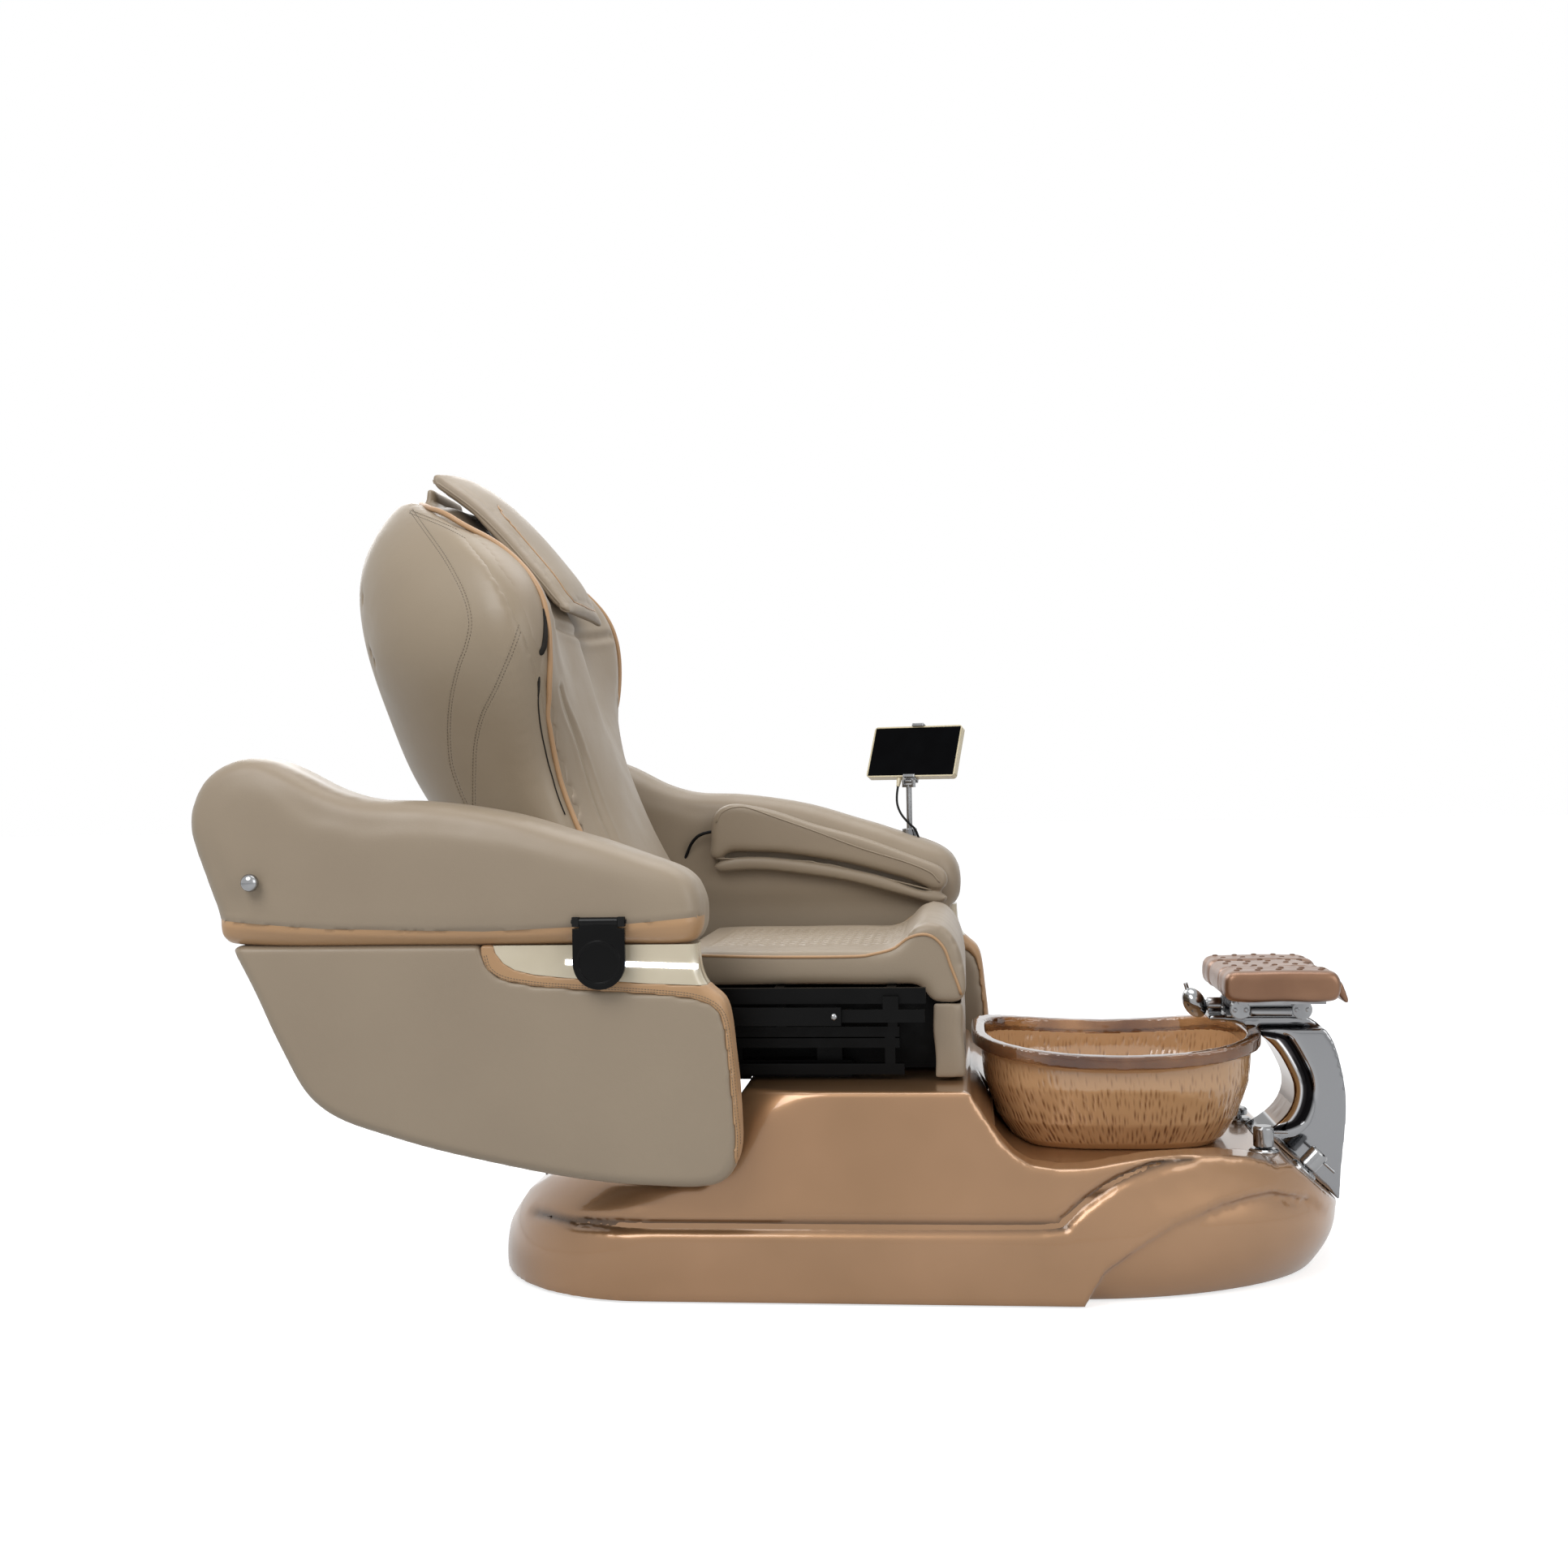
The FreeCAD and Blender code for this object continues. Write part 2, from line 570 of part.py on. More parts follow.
def bowl_form(lift, shrink):
    """The bowl's tapered form, lifted off its floor and drawn in all round."""
    depth = S.bowl_rim_height + S.bowl_rim_rise + 20 - S.valley_height
    return Part.makeLoft([bowl_ring(S.valley_height + lift + share * depth,
                                    S.bowl_rim_reach + narrow * S.bowl_taper + shrink)
                          for share, narrow in ((0, 1), (0.06, 0.78), (0.22, 0.45), (0.5, 0.15), (1, 0))],
                          True, True)


def bowl():
    """A tapered glass bowl with a thick clear rim that rises towards its ends."""
    foot = S.valley_height
    wall = S.bowl_wall
    reach = S.bowl_rim_reach
    top = S.bowl_rim_height + S.bowl_rim_rise + 20
    depth = top - foot
    outer = bowl_form(0, 0)
    inner = bowl_form(wall, wall)
    side = S.bowl_half_width + 10
    high = rim_line(S.bowl_rim_height)
    low = rim_line(S.bowl_rim_height - S.bowl_rim_band)
    above = prism(high + [(high[-1][0], top + 40), (high[0][0], top + 40)], -side, side)
    collar = Part.makeLoft([bowl_ring(foot + depth / 2, 0), bowl_ring(top, 0)], True, True)
    collar = collar.common(prism(high + low[::-1], -side, side))
    hole = Part.makeCylinder(S.drain_bore + 4, 60, V(drain_x, 0, foot - 10))
    jet_hole = Part.makeCylinder(S.jet_radius - 6, S.bowl_taper + 20, V(S.bowl_rear, 0, S.jet_height),
                                 V(1, 0, 0))
    return outer.cut(above).fuse(collar).cut(inner).cut(hole).cut(jet_hole)


computed("foot_bowl", bowl())
jet_room = Part.makeCylinder(S.jet_radius - 6, 60, V(S.bowl_rear, 0, S.jet_height), V(1, 0, 0))
computed("base_shell", shell.cut(drain_hole).cut(bowl_form(0, -S.soft_gap)).cut(jet_room))


def drain_flange():
    """A turned flange through the bowl's floor with a tail down into the base."""
    part, planes = body("bowl_drain")
    drawing = sketch_on(part, planes["XY_Plane"], "drain_plan")
    circle(drawing, "drain_bore + 3.7", MIDDLE)
    circle(drawing, "drain_bore", MIDDLE)
    drawing.AttachmentOffset = FreeCAD.Placement(V(0, 0, S.valley_height - 60), FreeCAD.Rotation())
    drawing.setExpression("AttachmentOffset.Base.z", on_sheet("valley_height - 60"))
    tail = part.newObject("PartDesign::Pad", "drain_tail")
    tail.Profile = drawing
    tail.setExpression("Length", on_sheet("60 + bowl_wall"))
    upper = sketch_on(part, planes["XY_Plane"], "drain_lip")
    circle(upper, "drain_radius + 8", MIDDLE)
    circle(upper, "drain_bore", MIDDLE)
    upper.setExpression("AttachmentOffset.Base.z", on_sheet("valley_height + bowl_wall"))
    lip = part.newObject("PartDesign::Pad", "lip")
    lip.Profile = upper
    lip.Length = 2.5


def drain_stopper():
    """A pop-up plug: a disc over the drain on a stem."""
    cap = rod("stopper_cap", "drain_bore - 1", "3", MIDDLE, "0", "valley_height + bowl_wall + 0.3")
    stem = rod("stopper_stem", "4", "50", MIDDLE, "0", "valley_height + bowl_wall - 50 + 0.3")
    return named(fuse("stopper", [cap, stem]), "drain_stopper")


drain_flange()
drain_stopper()


def jet_housing():
    """A jet cup through the bowl's rear wall, with a slotted cap and a shaft."""
    rear = S.bowl_rear + S.jet_depth + 2
    front = rear + S.jet_depth + 5
    inner = S.jet_radius - 10.5
    at = V(rear, 0, S.jet_height)
    along = V(1, 0, 0)
    cup = Part.makeCylinder(S.jet_radius - 6.3, front - rear, at, along)
    cap = Part.makeCylinder(S.jet_radius, 5, V(front, 0, S.jet_height), along)
    hollow = Part.makeCylinder(inner, front - rear - 4, V(rear + 4, 0, S.jet_height), along)
    solid = cup.fuse(cap).cut(hollow)
    for step in range(6):
        turn = math.radians(60 * step)
        at_hole = V(rear + 6, 0.45 * S.jet_radius * math.cos(turn),
                    S.jet_height + 0.45 * S.jet_radius * math.sin(turn))
        solid = solid.cut(Part.makeCylinder(5, 60, at_hole, along))
    shaft = Part.makeCylinder(3, front - rear - 2, V(rear, 0, S.jet_height), along)
    return solid.fuse(shaft)


def jet_impeller():
    """Five blades on a hub that turns on the shaft."""
    start = S.bowl_rear + S.jet_depth + 8
    along = V(1, 0, 0)
    hub = Part.makeCylinder(8, 16, V(start, 0, S.jet_height), along)
    for step in range(5):
        blade = Part.makeBox(14, 2.5, S.jet_radius - 14, V(start + 1, -1.25, S.jet_height))
        blade.rotate(V(start, 0, S.jet_height), along, 72 * step)
        hub = hub.fuse(blade)
    return hub.cut(Part.makeCylinder(3 + S.pin_clearance, 40, V(start - 10, 0, S.jet_height), along))


computed("jet_housing", jet_housing().cut(made("foot_bowl")))
computed("jet_impeller", jet_impeller())


# ---------------------------------------------------------------- column, footrest, sprayer, valves

def spline(points):
    curve = Part.BSplineCurve()
    curve.interpolate([V(x, 0, z) for x, z in points])
    return curve.toShape()


def line(start, end):
    return Part.makeLine(V(start[0], 0, start[1]), V(end[0], 0, end[1]))


def column():
    """A chromed C: a foot on the front slope, a wide back and a narrow upper arm over the bowl's end."""
    nose = (S.base_front + 10, S.valley_height - S.slope_drop)
    bend_at = (S.slope_start, S.valley_height)
    heel = (S.slope_start - 27, S.valley_height)
    top = S.column_top
    tip_low = (S.column_tip, top - 10)
    outer = [(S.lock_x + 4, top), (S.base_front - 4, top - 26), (S.base_front + 13, top - 71),
             (S.base_front + 22, top - 130), (S.base_front + 18, top - 200), nose]
    inner = [heel, (S.slope_start + 6, S.valley_height + 20), (S.slope_start + 32, S.valley_height + 48),
             (S.slope_start + 40, S.valley_height + 82), (S.slope_start + 30, top - 84),
             (S.slope_start + 4, top - 43), (S.slope_start - 40, top - 16), tip_low]
    wire = Part.Wire([line((S.column_tip, top), outer[0]), spline(outer), line(nose, bend_at),
                      line(bend_at, heel),
                      spline(inner), line(tip_low, (S.column_tip, top))])
    solid = Part.Face(wire).extrude(V(0, 2 * S.column_half_width, 0))
    solid.translate(V(0, -S.column_half_width, 0))
    beside = Part.makeBox(400, 200, 60, V(S.column_tip - 50, S.column_neck_half, top - 18))
    return solid.cut(beside).cut(beside.mirror(V(), V(0, 1, 0)))


PIVOT_Z = "column_top + bracket_rise"
CHEEK_OUT = "bracket_half + 6"


def footrest_bracket():
    """Plate, two cheeks, a hinge pin, a front cross tube, a rest block and a bar along each side."""
    parts = [box("bracket_plate_block", "column_tip + 27", "lock_x + 12", "-bracket_half", "bracket_half",
                 "column_top", "column_top + bracket_plate"),
             rod("hinge_pin_rod", "pin_radius", "2 * bracket_half", "pivot_x", "-bracket_half", PIVOT_Z, "y"),
             rod("cross_tube", "pin_radius + 3", "2 * bracket_half", "lock_x", "-bracket_half", PIVOT_Z, "y"),
             box("rest_block", "lock_x - 10", "lock_x + 10", "-40", "40", PIVOT_Z,
                 "footrest_low - 6 - soft_gap")]
    for side, low, middle in (("right", f"-({CHEEK_OUT})", "-(bracket_half + 12)"),
                              ("left", "bracket_half", "bracket_half + 12")):
        parts.append(box(f"cheek_{side}", "pivot_x - 12", "lock_x + 12", low, f"{low} + 6",
                         "column_top", "footrest_low - 10"))
        parts.append(rod(f"bar_{side}", "8", "lock_x - pivot_x - 2 * disc_radius - 1",
                         "pivot_x + disc_radius + 0.5",
                         middle, f"{PIVOT_Z} - 3", "x"))
    return named(fuse("bracket_parts", parts), "footrest_bracket")


def bracket_discs():
    """A disc with two screw heads over each end of both cross tubes."""
    solids = []
    for side, face, head in (("right", f"-({CHEEK_OUT}) - 10", f"-({CHEEK_OUT}) - 11.5"),
                             ("left", CHEEK_OUT, f"{CHEEK_OUT} + 10")):
        for place, x in (("rear", "pivot_x"), ("front", "lock_x")):
            solids.append(rod(f"disc_{side}_{place}", "disc_radius", "10", x, face, PIVOT_Z, "y"))
            for offset in ("- 9", "+ 9"):
                solids.append(rod(f"screw_{side}_{place}", "3.2", "1.5", f"{x} {offset}", head, PIVOT_Z, "y"))
    return named(group("discs", solids), "bracket_discs")


def footrest_plate():
    """The steel plate that carries the pads, with two lugs that turn on the hinge pin."""
    parts = [box("pad_plate", "footrest_rear + 22", "footrest_front - 20", "-footrest_half + 20",
                 "footrest_half - 20", "footrest_low - 6", "footrest_low")]
    for side, low in (("right", "-bracket_half + 2"), ("left", "bracket_half - 12")):
        parts.append(box(f"lug_{side}", "pivot_x - 8", "pivot_x + 8", low, f"{low} + 10", PIVOT_Z,
                         "footrest_low - 6"))
        parts.append(rod(f"lug_eye_{side}", "pin_radius + 3.6", "10", "pivot_x", low, PIVOT_Z, "y"))
    bore = rod("pin_bore", "pin_radius + pin_clearance", "2 * bracket_half", "pivot_x", "-bracket_half",
               PIVOT_Z, "y")
    return named(cut("footrest_carrier", fuse("carrier_parts", parts), bore), "footrest_plate")


def footrest_outline(front, lip):
    """Side outline of a pad; the middle one runs on into a lip that curls down."""
    rear = S.footrest_rear
    low = S.footrest_low
    high = S.footrest_high
    head = [(rear + 1, high - 12), (rear, low + 14), (rear + 4, low + 4), (rear + 16, low),
            ((rear + front) / 2, low)]
    tail = [((rear + front) / 2, high), (rear + 22, high - 1), (rear + 7, high - 4)]
    if lip:
        nose = [(front - 34, low), (front - 22, low + 4), (front - 8, low - 12), (front - 1, low - 16),
                (front - 3, low), (front - 16, low + 26), (front - 40, high - 8), (front - 62, high - 1)]
    else:
        nose = [(front - 16, low), (front - 4, low + 4), (front, low + 14), (front - 1, high - 12),
                (front - 7, high - 4), (front - 22, high - 1)]
    return head + nose + tail


def footrest_pads():
    """Three moulded pads side by side."""
    edge = S.footrest_mid_half + S.footrest_slit
    outer = footrest_outline(S.footrest_front, False)
    side = pad(outer, pad_levels(edge, S.footrest_half, 9))
    middle = pad(footrest_outline(S.footrest_lip, True),
                 [(-S.footrest_mid_half, 0), (S.footrest_mid_half, 0)])
    return Part.makeCompound([side, middle, side.mirror(V(), V(0, 1, 0))])


computed("column", column().cut(made("foot_bowl")))
footrest_bracket()
bracket_discs()
footrest_plate()
computed("footrest_pads", footrest_pads().cut(made("footrest_plate")))
SPRAY_Z = "column_top + sprayer_radius + 4.3"


def sprayer_dock():
    """A socket on the tip of the column's arm."""
    outer = rod("dock_ring", "sprayer_radius + 4", "22", "column_tip + 2", "0", SPRAY_Z, "x")
    foot = box("dock_foot", "column_tip + 3", "column_tip + 23", "-8", "8", "column_top", SPRAY_Z)
    bore = rod("dock_bore", "sprayer_radius + pin_clearance", "60", "column_tip - 20", "0", SPRAY_Z, "x")
    return named(cut("dock", fuse("dock_parts", [outer, foot]), bore), "sprayer_dock")


def sprayer():
    """A hand spray: a round head, a small lever on top and a neck that slides into the dock."""
    height = S.column_top + S.sprayer_radius + 4.3
    neck = Part.makeCylinder(S.sprayer_radius, 54, V(S.column_tip - 32, 0, height), V(1, 0, 0))
    head = Part.makeSphere(S.sprayer_head)
    squash = FreeCAD.Matrix()
    squash.scale(0.76, 1, 1.1)
    head = head.transformGeometry(squash)
    head.rotate(V(), V(0, 1, 0), -28)
    head.translate(V(S.column_tip - 19, 0, height + 4))
    lever = Part.makeCylinder(3.5, 16, V(S.column_tip - 29, 0, height + 22), V(-0.3, 0, 1))
    return neck.fuse(head).fuse(lever)


sprayer_dock()
computed("sprayer", sprayer())
SLOPE = math.degrees(math.atan2(S.slope_drop, S.base_front + 10 - S.slope_start))
VALVES = {"mixer_handle": (V(S.slope_start - 28, -170, S.valley_height), 0),
          "diverter_handle": (V(S.slope_start + 36, -150,
                                S.valley_height - 36 * math.tan(math.radians(SLOPE))), SLOPE),
          "jet_button": (V(S.slope_start - 28, 100, S.valley_height), 0)}
STEM_RADIUS = 7


def leaning(shape, place, lean):
    """Stand a shape that was made at the origin on a place, leaning towards +X."""
    shape.Placement = FreeCAD.Placement(place, FreeCAD.Rotation(V(0, 1, 0), lean))
    return shape


def valve_bodies():
    """A flange and a stem under each control."""
    solids = []
    for name, (place, lean) in VALVES.items():
        stem = 12 if name == "jet_button" else 26
        profile = [(0, 0), (S.valve_flange, 0), (S.valve_flange, 3), (S.valve_flange - 4, 6),
                   (STEM_RADIUS, 6), (STEM_RADIUS, stem), (0, stem)]
        solids.append(leaning(revolved(profile, V(), V(0, 0, 1)), place, lean))
    return Part.makeCompound(solids)


def handle():
    """A turned barrel over the stem with a lever pin out of its side."""
    top = 7 + S.valve_height
    bore = STEM_RADIUS + S.pin_clearance
    profile = [(bore, 7), (S.valve_radius - 3, 7), (S.valve_radius, 10), (S.valve_radius, top - 3),
               (S.valve_radius - 3, top), (0, top), (0, 26.5), (bore, 26.5)]
    pin = Part.makeCylinder(2.4, S.valve_radius + 12, V(10, 0, top - 10), V(1, 0, 0))
    return revolved(profile, V(), V(0, 0, 1)).fuse(pin)


def button():
    """A low push button on its stem."""
    profile = [(STEM_RADIUS + S.pin_clearance, 11), (S.valve_radius, 11), (S.valve_radius, 20),
               (S.valve_radius - 3, 23), (0, 23), (0, 16.5), (STEM_RADIUS + S.pin_clearance, 16.5)]
    return revolved(profile, V(), V(0, 0, 1))


computed("valve_bodies", valve_bodies())
for name, (place, lean) in VALVES.items():
    computed(name, leaning(button() if name == "jet_button" else handle(), place, lean))


# ---------------------------------------------------------------- seat carriage

CARRIAGE_IN = "carriage_half - frame_bar"
FRAME_HIGH = "seat_frame_low + seat_frame_depth"


def both_sides(label, x0, x1, near, far, z0, z1):
    """A block on each side of the middle plane, from near to far off it."""
    return [box(f"{label}_left", x0, x1, near, far, z0, z1),
            box(f"{label}_right", x0, x1, f"-({far})", f"-({near})", z0, z1)]


def carriage():
    """Three bars a side tied by blocks, cross beams, bearing blocks over the rails and the screw's nut."""
    rail_top = "deck_height + rail_height"
    parts = both_sides("top_bar", "-seat_frame_rear", "-7", CARRIAGE_IN, "carriage_half",
                       "carriage_high - 16", "carriage_high")
    parts += both_sides("middle_bar", "-seat_frame_rear", "-7", CARRIAGE_IN, "carriage_half",
                        "carriage_high - 33", "carriage_high - 18")
    parts += both_sides("low_bar", "-seat_frame_rear", "0", CARRIAGE_IN, "carriage_half",
                        "carriage_high - 75", "carriage_high - 58")
    for end, x0 in (("front", "-30"), ("rear", "-seat_frame_rear")):
        parts += both_sides(f"tie_{end}", x0, f"{x0} + 16", CARRIAGE_IN, "carriage_half",
                            "carriage_high - 75", "carriage_high")
    for end, x0 in (("front", "-140"), ("rear", "-300"), ("nut", "-200")):
        parts.append(box(f"cross_beam_{end}", x0, f"{x0} + 30", f"-({CARRIAGE_IN})", CARRIAGE_IN,
                         "carriage_high - 33", "carriage_high - 18"))
    for end, x0 in (("front", "-140"), ("rear", "-300")):
        parts += both_sides(f"bearing_{end}", x0, f"{x0} + 40", "rail_half_spacing - rail_width / 2",
                            "rail_half_spacing + rail_width / 2", f"{rail_top} + rail_run",
                            "carriage_high - 30")
    parts.append(box("nut_block", "-200", "-170", "-18", "18", "deck_height + 8", "carriage_high - 30"))
    bore = rod("nut_bore", "screw_radius + pin_clearance", "80", "-220", "0", "deck_height + screw_height",
               "x")
    return named(cut("carriage_cut", fuse("carriage_parts", parts), bore), "carriage")


def seat_frame():
    """Side channels, cross bars, posts down to the carriage and cheeks for the recline hinge."""
    parts = both_sides("channel", "-seat_frame_rear", "seat_frame_front", "seat_frame_half - frame_bar",
                       "seat_frame_half", "seat_frame_low", FRAME_HIGH)
    for end, x0 in (("rear", "-hinge_x + 30"), ("middle", "-200"), ("front", "-25")):
        parts.append(box(f"seat_cross_{end}", x0, f"{x0} + frame_bar", "-seat_frame_half", "seat_frame_half",
                         "seat_frame_low", f"{FRAME_HIGH} - soft_gap"))
        parts += both_sides(f"seat_post_{end}", x0, f"{x0} + frame_bar", CARRIAGE_IN, "carriage_half",
                            "carriage_high", "seat_frame_low")
    parts += both_sides("hinge_cheek", "-hinge_x - 22", "-hinge_x + 22", "carriage_half + 8",
                        "carriage_half + 20",
                        "hinge_z - 24", "hinge_z + 20")
    parts += both_sides("cheek_foot", "-hinge_x - 22", "-hinge_x + 22", "carriage_half + 8",
                        "seat_frame_half", "seat_frame_low", "seat_frame_low + 10")
    bore = rod("hinge_bore", "hinge_radius + pin_clearance", "800", "-hinge_x", "-400", "hinge_z", "y")
    return named(cut("seat_frame_cut", fuse("seat_frame_parts", parts), bore), "seat_frame")


def arm_rails_fixed():
    """The rail members that are screwed to the seat frame."""
    rails = both_sides("fixed_rail", "seat_frame_front - 2 - rail_length", "seat_frame_front - 2",
                       "seat_frame_half", "seat_frame_half + rail_thick",
                       "rail_mid_height - rail_narrow / 2", "rail_mid_height + rail_narrow / 2")
    hangers = []
    for end, x0 in (("rear", "-360"), ("front", "-30")):
        hangers += both_sides(f"hanger_{end}", x0, f"{x0} + 24", "seat_frame_half",
                              "seat_frame_half + rail_thick",
                              "rail_mid_height + rail_narrow / 2", "seat_frame_low + 12")
    left = fuse("left_rail", [rails[0]] + hangers[0::2])
    right = fuse("right_rail", [rails[1]] + hangers[1::2])
    return named(group("fixed_rails", [left, right]), "arm_rails_fixed")


def seat_outline():
    """Side outline of the seat cushion with its raised front bolster."""
    low = S.seat_frame_low + S.seat_frame_depth + 1.2
    front = S.seat_front
    rear = -S.seat_rear
    high = S.seat_high
    return [(rear + 6, low + 2), (rear + 60, low), (-100, low), (front - 96, low), (front - 74, low - 2),
            (front - 62, low - 14), (front - 52, low - 27), (front - 34, low - 30), (front - 12, low - 29),
            (front - 2, low - 18), (front, low + 14), (front - 6, high - 4),
            (front - 19, S.bolster_high - 20),
            (front - 36, S.bolster_high - 4), (front - 56, S.bolster_high), (front - 78, S.bolster_high - 9),
            (front - 97, high + 16), (front - 118, high + 3), (front - 160, high), (-200, high),
            (rear + 30, high - 1), (rear + 4, high - 8), (rear, (low + high) / 2)]


def apron():
    """A padded leather skirt below the bolster, with sides that turn back."""
    low = S.deck_height + 4
    high = S.seat_frame_low + S.seat_frame_depth - 30
    front = S.seat_front - 4
    half = S.apron_half_width
    outer = Part.makeBox(S.apron_depth, 2 * half, high - low, V(front - S.apron_depth, -half, low))
    corners = [edge for edge in outer.Edges if edge.Vertexes[0].X > front - 1 and edge.Vertexes[1].X > front - 1
               and abs(edge.tangentAt(edge.FirstParameter).z) > 0.9]
    outer = outer.makeFillet(S.apron_thick + 6, corners)
    thick = S.apron_thick
    inner = Part.makeBox(S.apron_depth, 2 * (half - thick), high - low + 2,
                         V(front - S.apron_depth - thick, -half + thick, low - 1))
    return outer.cut(inner)


carriage()
seat_frame()
arm_rails_fixed()
cushion_low = S.seat_frame_low + S.seat_frame_depth
below_cushion = Part.makeBox(S.seat_rear + S.seat_frame_front, 2 * S.seat_frame_half, 60,
                             V(-S.seat_rear, -S.seat_frame_half, cushion_low - 60))
computed("seat_cushion", extruded(seat_outline(), -S.seat_half_width, S.seat_half_width).cut(below_cushion))
computed("apron", apron())


# ---------------------------------------------------------------- arms, drawn home on the left

def arm_outline():
    """Side outline of an arm's upper pod: hump at the rear, saddle, long fall to the front."""
    low = S.arm_low
    return [(-640, low + 8), (-560, low + 1), (-420, low), (-200, low), (0, low), (58, low), (78, low + 6),
            (88, low + 26), (89, low + 53), (82, low + 81), (66, low + 101), (36, low + 116),
            (-13, low + 134),
            (-61, low + 151), (-110, low + 166), (-184, low + 189), (-234, low + 200), (-284, low + 208),
            (-359, low + 215), (-409, low + 217), (-447, low + 225), (-484, low + 239), (-522, low + 259),
            (-554, low + 274), (-579, low + 282), (-611, low + 283), (-643, low + 272), (-668, low + 253),
            (-684, low + 225), (-692, low + 194), (-686, low + 156), (-671, low + 113), (-655, low + 69),
            (-646, low + 30)]


def pod_outline():
    """Side outline of an arm's lower pod, carried on upwards until it is cut off below the upper pod."""
    return [(-640, 566), (-616, 521), (-591, 472), (-567, 419), (-542, 369), (-517, 326), (-490, 300),
            (-455, 281), (-404, 264), (-342, 246), (-242, 223), (-119, 200), (-45, 191), (29, 187), (85, 187),
            (112, 193), (130, 210), (140, 238), (141, 282), (138, 342), (133, 391), (128, 436), (118, 464),
            (100, 480), (88, 500), (83, 530), (82, 570), (72, 610), (40, 632), (-60, 636), (-250, 636),
            (-450, 636), (-590, 634), (-640, 618), (-652, 590)]


def shifted(points, by):
    """Points moved by the same amount along x and z."""
    return [(x + by, z + by) for x, z in points]


def band_region():
    """The side region in front of the seam where the gold trim begins on the lower pod."""
    high = S.arm_low
    seam = [(-242, high + 5), (-240, high - 18), (-232, high - 36), (-209, high - 52), (-160, high - 61),
            (-111, high - 65), (11, high - 73), (72, high - 79), (102, high - 89), (117, high - 104),
            (123, high - 128), (130, high - 200), (136, high - 284), (132, high - 345)]
    return seam + [(132, 150), (200, 150), (200, high + 5)]


def insert_region():
    """The side region of the cream panel at the front of the lower pod."""
    high = S.arm_low
    return [(-224, high + 5), (-219, high - 12), (-207, high - 27), (-190, high - 37), (-161, high - 44),
            (-112, high - 49), (11, high - 58), (90, high - 61), (150, high - 62), (150, high + 5)]


def sleeve_outline():
    """Side outline of the forearm sleeve's upper flap."""
    return [(-378, 650), (-374, 700), (-366, 726), (-345, 740), (-310, 740), (-250, 726), (-187, 704),
            (-110, 682),
            (-34, 655), (30, 630), (62, 610), (66, 592), (58, 580), (20, 588), (-36, 608), (-110, 628),
            (-189, 643), (-260, 652), (-313, 654), (-350, 648), (-368, 640)]


def lip_outline():
    """Side outline of the sleeve's lower lip."""
    return [(-370, 628), (-350, 637), (-313, 642), (-250, 639), (-189, 631), (-110, 616), (-36, 596),
            (20, 576),
            (58, 568), (66, 562), (58, 556), (20, 558), (-36, 574), (-110, 594), (-189, 608), (-250, 616),
            (-313, 619), (-350, 616), (-366, 620)]


def led_block(grow):
    """The light strip, or the slot for it, let into the cream panel."""
    length = S.led_length + grow
    block = Part.makeBox(length, S.led_depth + 1 + grow, S.led_height + grow,
                         V(-length / 2, S.pod_outer - S.led_depth, -(S.led_height + grow) / 2))
    block.rotate(V(), V(0, 1, 0), 2.2)
    block.translate(V(-14, 0, S.arm_low - 29))
    return block


def arm_pieces():
    """Every upholstered and moulded piece of the left arm, by name."""
    upper = pad(arm_outline(), pad_levels(S.arm_inner, S.arm_outer, S.arm_round))
    skirt = prism([(-560, S.skirt_low), (68, S.skirt_low), (72, S.arm_low + 4), (-560, S.arm_low + 4)],
                  S.arm_inner, S.arm_inner + S.skirt_thick)
    outside = Part.makeBox(1000, 90, S.arm_stripe - S.arm_low + 20,
                           V(-760, S.arm_outer - 60, S.arm_low - 20))
    upper = upper.cut(Part.makeBox(1000, 200, 60, V(-760, S.arm_inner - 20, S.arm_low - 60)))
    stripe = upper.common(outside)
    upper = upper.cut(outside).fuse(skirt)
    reach = (S.pod_inner - 10, S.pod_outer + 10)
    roof = prism([(-900, S.arm_low), (300, S.arm_low), (300, 800), (-900, 800)], *reach)
    lower = pad(pod_outline(), pad_levels(S.pod_inner, S.pod_outer, S.pod_round)).cut(roof)
    front = lower.common(prism(shifted(band_region(), S.seam_gap), *reach))
    insert = front.common(prism(shifted(insert_region(), S.seam_gap), *reach))
    border = front.cut(prism(insert_region(), *reach))
    slot = led_block(0.6)
    beside = S.arm_inner - 2 * S.soft_gap
    sleeve = pad(sleeve_outline(), pad_levels(S.sleeve_inner, beside, 10))
    lip = pad(lip_outline(), pad_levels(S.sleeve_inner + 4, beside, 6))
    hook = revolved([(0, 0), (15, 0), (15, 2), (12, 3.5), (5, 4), (4.5, 14), (0, 14)],
                    V(-S.hook_x, S.arm_outer, S.hook_height), V(0, 1, 0))
    ball = Part.makeSphere(S.hook_ball, V(-S.hook_x, S.arm_outer + 20, S.hook_height))
    return {"arm_upper": upper, "arm_lower": lower.cut(prism(band_region(), *reach)),
            "arm_trim": Part.makeCompound([stripe, border]), "arm_insert": insert.cut(slot),
            "arm_light": led_block(0), "sleeve_pads": Part.makeCompound([sleeve, lip]),
            "coat_hook": hook.fuse(ball)}


SLEEVE_HOSE = [V(-364, 300, 692), V(-394, 300, 690), V(-415, 304, 671), V(-425, 312, 648),
               V(-436, S.arm_inner + 4, 628)]


def sided(shape, side):
    """The left arm's shape as it stands: the left one home, the right one mirrored and slid back."""
    if side == "left":
        return shape
    turned = shape.mirror(V(), V(0, 1, 0))
    turned.translate(V(-S.arm_travel, 0, 0))
    return turned


